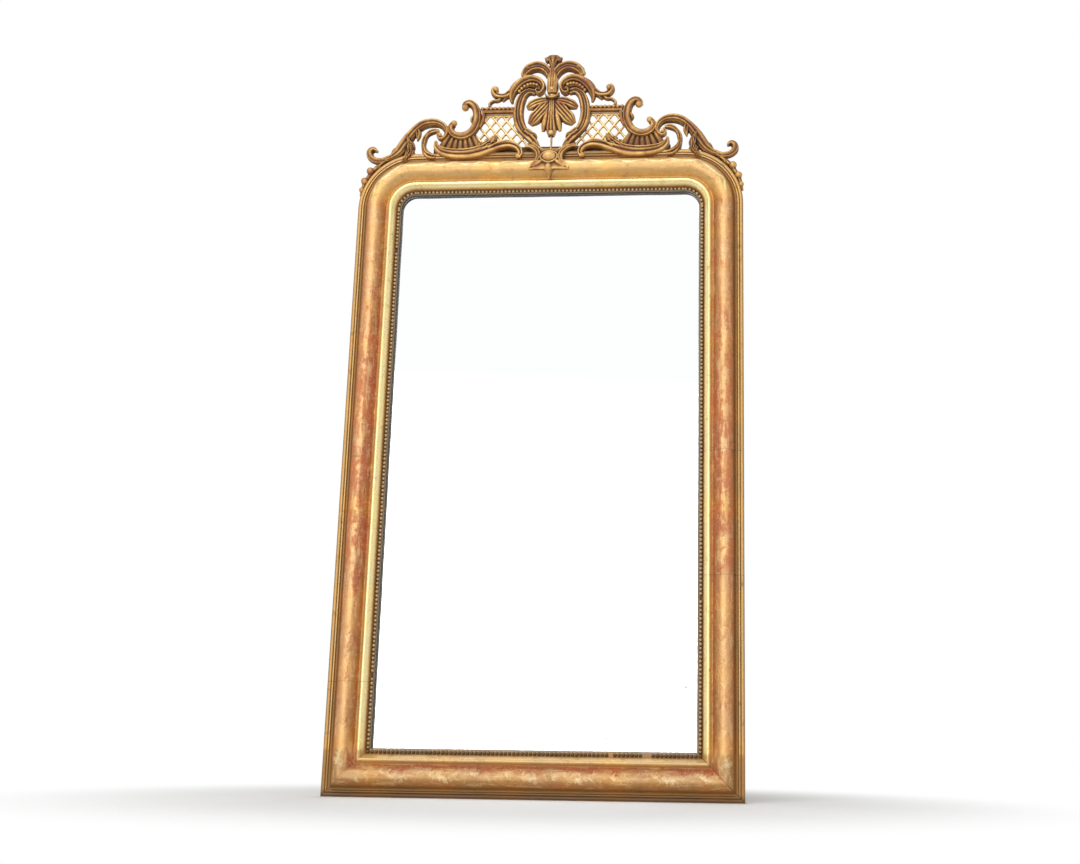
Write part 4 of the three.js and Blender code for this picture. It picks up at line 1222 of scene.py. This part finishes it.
def star_clasp():
    on_rail = {"seat_depth": clasp_seat, "floor": 9}
    arm = [(66, 15), (52, 14), (39, 6), (30, -8), (28, -24), (34, -40), (51, -57)]
    rim = [(21 * math.cos(a), 19 * math.sin(a) - 24) for a in np.linspace(0, 2 * math.pi, 25)]
    return [
        ribbon([(0, 6), (0, -16), (0, -38), (0, -60)], [25, 27, 26, 27, 32, 40, 53],
               [5, 5.5, 6, 6], rolls((0, 1, 1), crease=0.2, shoulder=10), 60, **on_rail),
        ribbon([(0, -42), (0, -56), (0, -79)], [8, 14, 15, 10, 6, 1.5], [8, 8, 8, 7.5, 5, 2],
               rolls((0, 1, 1), crease=0.8), 60, **on_rail),
        ball(5.5, 0, -44, 4, 0.9, seat_depth=63),
        *both(
            ribbon(arm, [4, 6, 7, 7, 6, 5, 2.5], [7, 9, 10, 10, 8, 7.5, 6], FILLETS, 100,
                   **on_rail),
            ribbon([(8, -30), (24, -42), (40, -54)], [5, 7, 3], [7, 8, 6], dome, 40, **on_rail),
        ),
        ribbon(rim, [3.4, 3.4], [10, 10], dome, 90, **on_rail),
    ]


def cabochon():
    return [ball(17, 0, -24, 0, 0.68, seat_depth=55, tall=0.9)]


def lattice():
    """Crossed bars behind the carvings, cut to the panel, with a stepped face"""
    panel = np.array([
        (44, 20.6), (205, 20.6), (203, 56), (186, 84), (186, 112), (90, 112), (84, 82), (72, 58),
        (53, 38),
    ])
    thickness = 5.0
    ground = ORNAMENT - 0.3 - thickness
    pitch = 28
    crossing = 61  # height of the row of crossings that the bars are set out from

    def stepped(a, t):
        return np.interp(np.abs(a), (0, 0.56, 0.66, 1), (1, 0.96, 0.34, 0.3)) + 0 * t

    bars = []
    for slope in (-1, 1):
        steep = slope * math.tan(math.radians(51))
        for x in np.arange(-49, 337, pitch):
            ends = []
            for a, b in zip(panel, np.roll(panel, -1, 0)):
                side, other = ((p[1] - crossing) - steep * (p[0] - x) for p in (a, b))
                if side * other < 0:
                    ends.append(a + (b - a) * side / (side - other))
            ends.sort(key=lambda p: p[0])
            for first, last in zip(ends[::2], ends[1::2]):
                count = max(int(np.linalg.norm(last - first) / 4), 3)
                bars.append(ribbon([first, (first + last) / 2, last], [3.5, 3.5],
                                   [thickness, thickness], stepped, count,
                                   seat_depth=ground + 0.5 * (slope > 0)))
    rim = ribbon([(88, 109.5), (140, 109.5), (186, 109.5)], [4.6, 4.6], [thickness, thickness],
                 FLAT, 20, seat_depth=ground)
    return [*bars, rim]


def lattice_top_bar():
    turn = [(178, 116.3), (178, 100), (181, 86), (187, 74)]
    return [
        ribbon([(96, 116.3), (140, 116.3), (182, 116.3)], [4.2, 4.2], [12, 12], FILLETS, 50),
        ribbon(turn, [4.2, 4.2, 3.4], [12, 12, 12], FILLETS, 50),
        ribbon([(96, 122), (142, 122), (184, 122)], [3.5, 3.5], [7, 7], dome, 40),
        *(ball(5.6, 104 + 11 * i, 125 + 0.5 * (i % 2), 1, tall=0.9) for i in range(8)),
    ]


def crest():
    middle = {
        "shell": (shell, CARVED),
        "top_palmette": (palmette, CARVED),
        "star_clasp": (star_clasp, CARVED),
        "cabochon": (cabochon, LATTICE),
    }
    pairs = {
        "heart_scroll": (heart_scroll, BROWNED),
        "shoulder_sprig": (shoulder_sprig, BROWNED),
        "side_scroll": (side_scroll, BROWNED),
        "gadroon_fan": (gadroon_fan, SHADED_CARVING),
        "acanthus_scroll": (acanthus, CARVED),
        "arch_scroll": (arch_scroll, BROWNED),
        "inner_leaf": (inner_leaf, BROWNED),
        "end_volute": (end_volute, BROWNED),
        "berries": (berries, BROWNED),
        "lattice_panel": (lattice, LATTICE),
        "lattice_top_bar": (lattice_top_bar, BROWNED),
    }
    for node, (make, material) in middle.items():
        seat(carve(f"carved_{node}", make(), material), "gilt", node)
    for node, (make, material) in pairs.items():
        right = carve(f"carved_{node}_right", make(), material)
        left = reflected(right, f"carved_{node}_left")
        seat(right, "gilt", f"{node}_right")
        seat(left, "gilt", f"{node}_left")


# ---- Glass, boards and ironwork -----------------------------------------------------------------

HANGER_X = 0.438
HANGER_Z = 1.290
PLATE = 2.5 * MM
EYE = 5.4 * MM
EYE_LENGTH = 11 * MM
WIRE = 2.75 * MM
BORE = WIRE + 0.45 * MM
PIVOT_Y = BACK + 0.3 * MM + PLATE + EYE - 0.9 * MM


def dress(names, material):
    """A CAD node that keeps its shape gets its finish"""
    for name in names:
        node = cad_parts[name]
        node.data.materials.clear()
        node.data.materials.append(material)


def arc(x, z, radius, first, last, count):
    angles = np.linspace(first, last, count)
    return [(x + radius * math.cos(a), z + radius * math.sin(a)) for a in angles]


def circle(x, z, radius, sides):
    return arc(x, z, radius, 0, 2 * math.pi, sides + 1)[:-1]


def tube(knots, radius, sides):
    """A closed loop of round wire through the knots, in metres"""
    points = []
    for i, knot in enumerate(knots):
        heading = (knots[(i + 1) % len(knots)] - knots[i - 1]).normalized()
        out = Vector((0, 1, 0))
        side = heading.cross(out).normalized()
        points += [knot + side * a + out * b for a, b in circle(0, 0, radius, sides)]
    return points, skin(len(knots), sides, closed=True)


def screw(x, z, y, radius):
    """A slotted screw head, domed, facing +Y"""
    rings, sides = 5, 24
    points = []
    for i in range(rings):
        climb = i / (rings - 1) * math.pi / 2
        for a, b in circle(0, 0, math.cos(climb * 0.86), sides):
            slot = 0.5 if abs(b) < 0.16 and i > 0 else 0.0
            lift = 0.45 * max(math.sin(climb) - slot, 0.0)
            points.append((x + radius * a, y + radius * lift, z + radius * b))
    return points, capped(rings, sides)


def plate(name, node, corner, screws, screw_radius, thickness=None):
    """An iron plate in a node's place with rounded corners, a small chamfer at its outer face and
    screws, whose heights are in mm up from its foot, or negative ones down from its top"""
    low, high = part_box(node)
    thickness = thickness or high.y - low.y
    x, z = (low.x + high.x) / 2, (low.z + high.z) / 2
    half_width, half_height = (high.x - low.x) / 2, (high.z - low.z) / 2
    outline = []
    for cx, cz, first in ((1, 1, 0), (-1, 1, 0.5), (-1, -1, 1), (1, -1, 1.5)):
        outline += arc(cx * (half_width - corner), cz * (half_height - corner), corner,
                       first * math.pi, (first + 0.5) * math.pi, 8)
    chamfer = 0.5 * MM
    points = []
    for level, shrink in ((0, 0), (thickness - chamfer, 0), (thickness, chamfer)):
        scale_x, scale_z = 1 - shrink / half_width, 1 - shrink / half_height
        points += [(x + cx * scale_x, low.y + level, z + cz * scale_z) for cx, cz in outline]
    parts = [(points, capped(3, len(outline)))]
    for up in screws:
        foot = low.z if up > 0 else high.z
        parts.append(screw(x, foot + up * MM, low.y + thickness - 0.1 * MM, screw_radius))
    seat(solid(name, *joined(parts), [IRON], smooth=False), "iron", node)


def hanger(side, hand):
    """A plate, its rolled eye, whose bore leaves the ring free to swing, and the ring"""
    plate(f"hanger_leaf_{side}", f"hanger_plate_{side}", 7 * MM, (9, 27), 4.2 * MM, PLATE)
    x = hand * HANGER_X
    sides = 40
    end = EYE_LENGTH / 2
    points = [
        (x + offset, y, z)
        for offset, radius in ((-end, EYE), (end, EYE), (end, BORE), (-end, BORE))
        for y, z in circle(PIVOT_Y, HANGER_Z, radius, sides)
    ]
    seat(solid(f"hanger_eye_{side}", points, skin(4, sides, closed=True), [IRON]), "iron")

    low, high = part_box(f"hanger_ring_{side}")
    bow = (high.x - low.x) / 2 - WIRE
    bottom = HANGER_Z - low.z - WIRE
    bend = 5 * MM
    outline = arc(bow - bend, -bend, bend, math.pi / 2, 0, 8)
    outline += arc(0, bow - bottom, bow, 0, -math.pi, 40)
    outline += arc(bend - bow, -bend, bend, math.pi, math.pi / 2, 8)
    knots = [Vector((x + px, PIVOT_Y, HANGER_Z + pz)) for px, pz in outline]
    ring = solid(f"hanger_wire_{side}", *tube(knots, WIRE, 16), [IRON])
    seat(ring, "iron", f"hanger_ring_{side}", body=f"ring_{side}")


def back_nails(side, hand):
    """A row of nail heads up the back boards, driven into the rebate"""
    low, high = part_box("back_board_1")
    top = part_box("back_board_6")[1].z
    x = hand * (high.x - 9 * MM)
    path = [(x, high.y, low.z + 30 * MM), (x, high.y, top - 60 * MM)]
    piece = studs(f"board_nails_{side}", path, IRON, Pitch=98 * MM, Width=6 * MM,
                  Height=0.7 * MM, Lost=0.0, Seed=21)
    seat(piece, "iron")


mouldings()
pearl_courses()
crest()
dress(["mirror_glass"], SILVER)
for i in range(1, 7):
    dress([f"back_board_{i}"], BOARDS[i % len(BOARDS)])
dress([f"glass_fillet_{side}" for side in ("left", "right", "bottom", "top")], PINE)
# the crest rail's pine is partly painted shade
dress(["crest_rail"], DARK_SHADED_PINE)
for side, hand in (("left", -1), ("right", 1)):
    hanger(side, hand)
    plate(f"strap_{side}", f"crest_strap_{side}", 3 * MM, (10, 34, -8), 3.6 * MM)
    back_nails(side, hand)


# ---- Camera, light and floor --------------------------------------------------------------------

FOCAL_PIXELS = 1348.1  # for an image 1080 pixels wide
IMAGE_WIDTH = 1080
AXIS_PIXEL = 640  # column of the image that the lens looks along
SENSOR = 36.0
VIEWPOINT = (0.4772, -3.1863, 0.130)
YAW, PITCH, ROLL = (math.radians(a) for a in (-4.295, 12.999, -0.808))
AMBIENT = 0.45  # strength of the surroundings for rays that don't show them
FLOOR_REACH = 7.0
MATT_FLOOR = (0.55, 1.3)  # distances over which the floor turns into the white background


def camera():
    data = bpy.data.cameras.new("camera")
    data.sensor_width = SENSOR
    data.lens = FOCAL_PIXELS / IMAGE_WIDTH * SENSOR
    data.shift_x = (IMAGE_WIDTH / 2 - AXIS_PIXEL) / IMAGE_WIDTH
    level = math.cos(PITCH)
    forward = Vector((math.sin(YAW) * level, math.cos(YAW) * level, math.sin(PITCH)))
    right = forward.cross(Vector((0, 0, 1))).normalized()
    down = forward.cross(right)
    turned_right = right * math.cos(ROLL) + down * math.sin(ROLL)
    turned_down = down * math.cos(ROLL) - right * math.sin(ROLL)
    matrix = Matrix((turned_right, -turned_down, -forward)).transposed().to_4x4()
    matrix.translation = VIEWPOINT
    lens = place_object("camera", data)
    lens.matrix_world = matrix
    bpy.context.scene.camera = lens


def lamp(name, place, target, size, power):
    data = bpy.data.lights.new(name, "AREA")
    data.shape = "RECTANGLE"
    data.size, data.size_y = size
    data.energy = power
    light = place_object(name, data)
    light.location = place
    light.rotation_euler = (Vector(target) - Vector(place)).to_track_quat("-Z", "Y").to_euler()


def seen_ray(tree):
    """1 for rays that show the background: from the camera, a gloss or a glass"""
    path = tree.nodes.new("ShaderNodeLightPath")
    camera_ray, glossy, through = (
        Wire(tree, path.outputs[f"Is {name} Ray"]) for name in ("Camera", "Glossy", "Transmission")
    )
    return camera_ray.over(glossy).over(through)


def studio():
    """A white world and three soft lamps"""
    world = bpy.data.worlds.new("studio")
    bpy.context.scene.world = world
    world.use_nodes = True
    tree = Tree(world.node_tree)
    strength = seen_ray(tree) * (1 - AMBIENT) + AMBIENT
    glow = tree.add("ShaderNodeBackground", {}, {"Color": "ffffff", "Strength": strength})
    tree.add("ShaderNodeOutputWorld", {}, {"Surface": glow})
    lamp("softbox_top", (-0.6, -2.3, 3.4), (0, 0, 1.0), (2.4, 1.6), 40)
    lamp("softbox_front", (-0.7, -3.6, 0.9), (0, 0, 0.9), (2.6, 2.2), 40)
    lamp("softbox_back", (0.4, 3.2, 2.6), (0, 0, 0.9), (2.4, 2.0), 34)


def pale_floor():
    mesh = bpy.data.meshes.new("floor")
    square = ((-1, -1), (1, -1), (1, 1), (-1, 1))
    corners = [(x * FLOOR_REACH, y * FLOOR_REACH, 0) for x, y in square]
    mesh.from_pydata(corners, [], [(0, 1, 2, 3)])
    material, tree = new_material("pale_floor")
    place = tree.object_place()
    distance = tree.add("ShaderNodeVectorMath", {"operation": "LENGTH"}, {0: place}, output=1)
    matt = tree.add("ShaderNodeBsdfDiffuse", {}, {"Color": (0.93, 0.93, 0.92, 1)})
    glow = tree.add("ShaderNodeEmission", {}, {"Color": "ffffff", "Strength": 1.0})
    share = distance.between(*MATT_FLOOR) * seen_ray(tree)
    mixed = tree.add("ShaderNodeMixShader", {}, {0: share, 1: matt, 2: glow})
    tree.add("ShaderNodeOutputMaterial", {}, {"Surface": mixed})
    mesh.materials.append(material)
    place_object("floor", mesh)


camera()
studio()
pale_floor()
bpy.context.scene.view_settings.view_transform = "Standard"
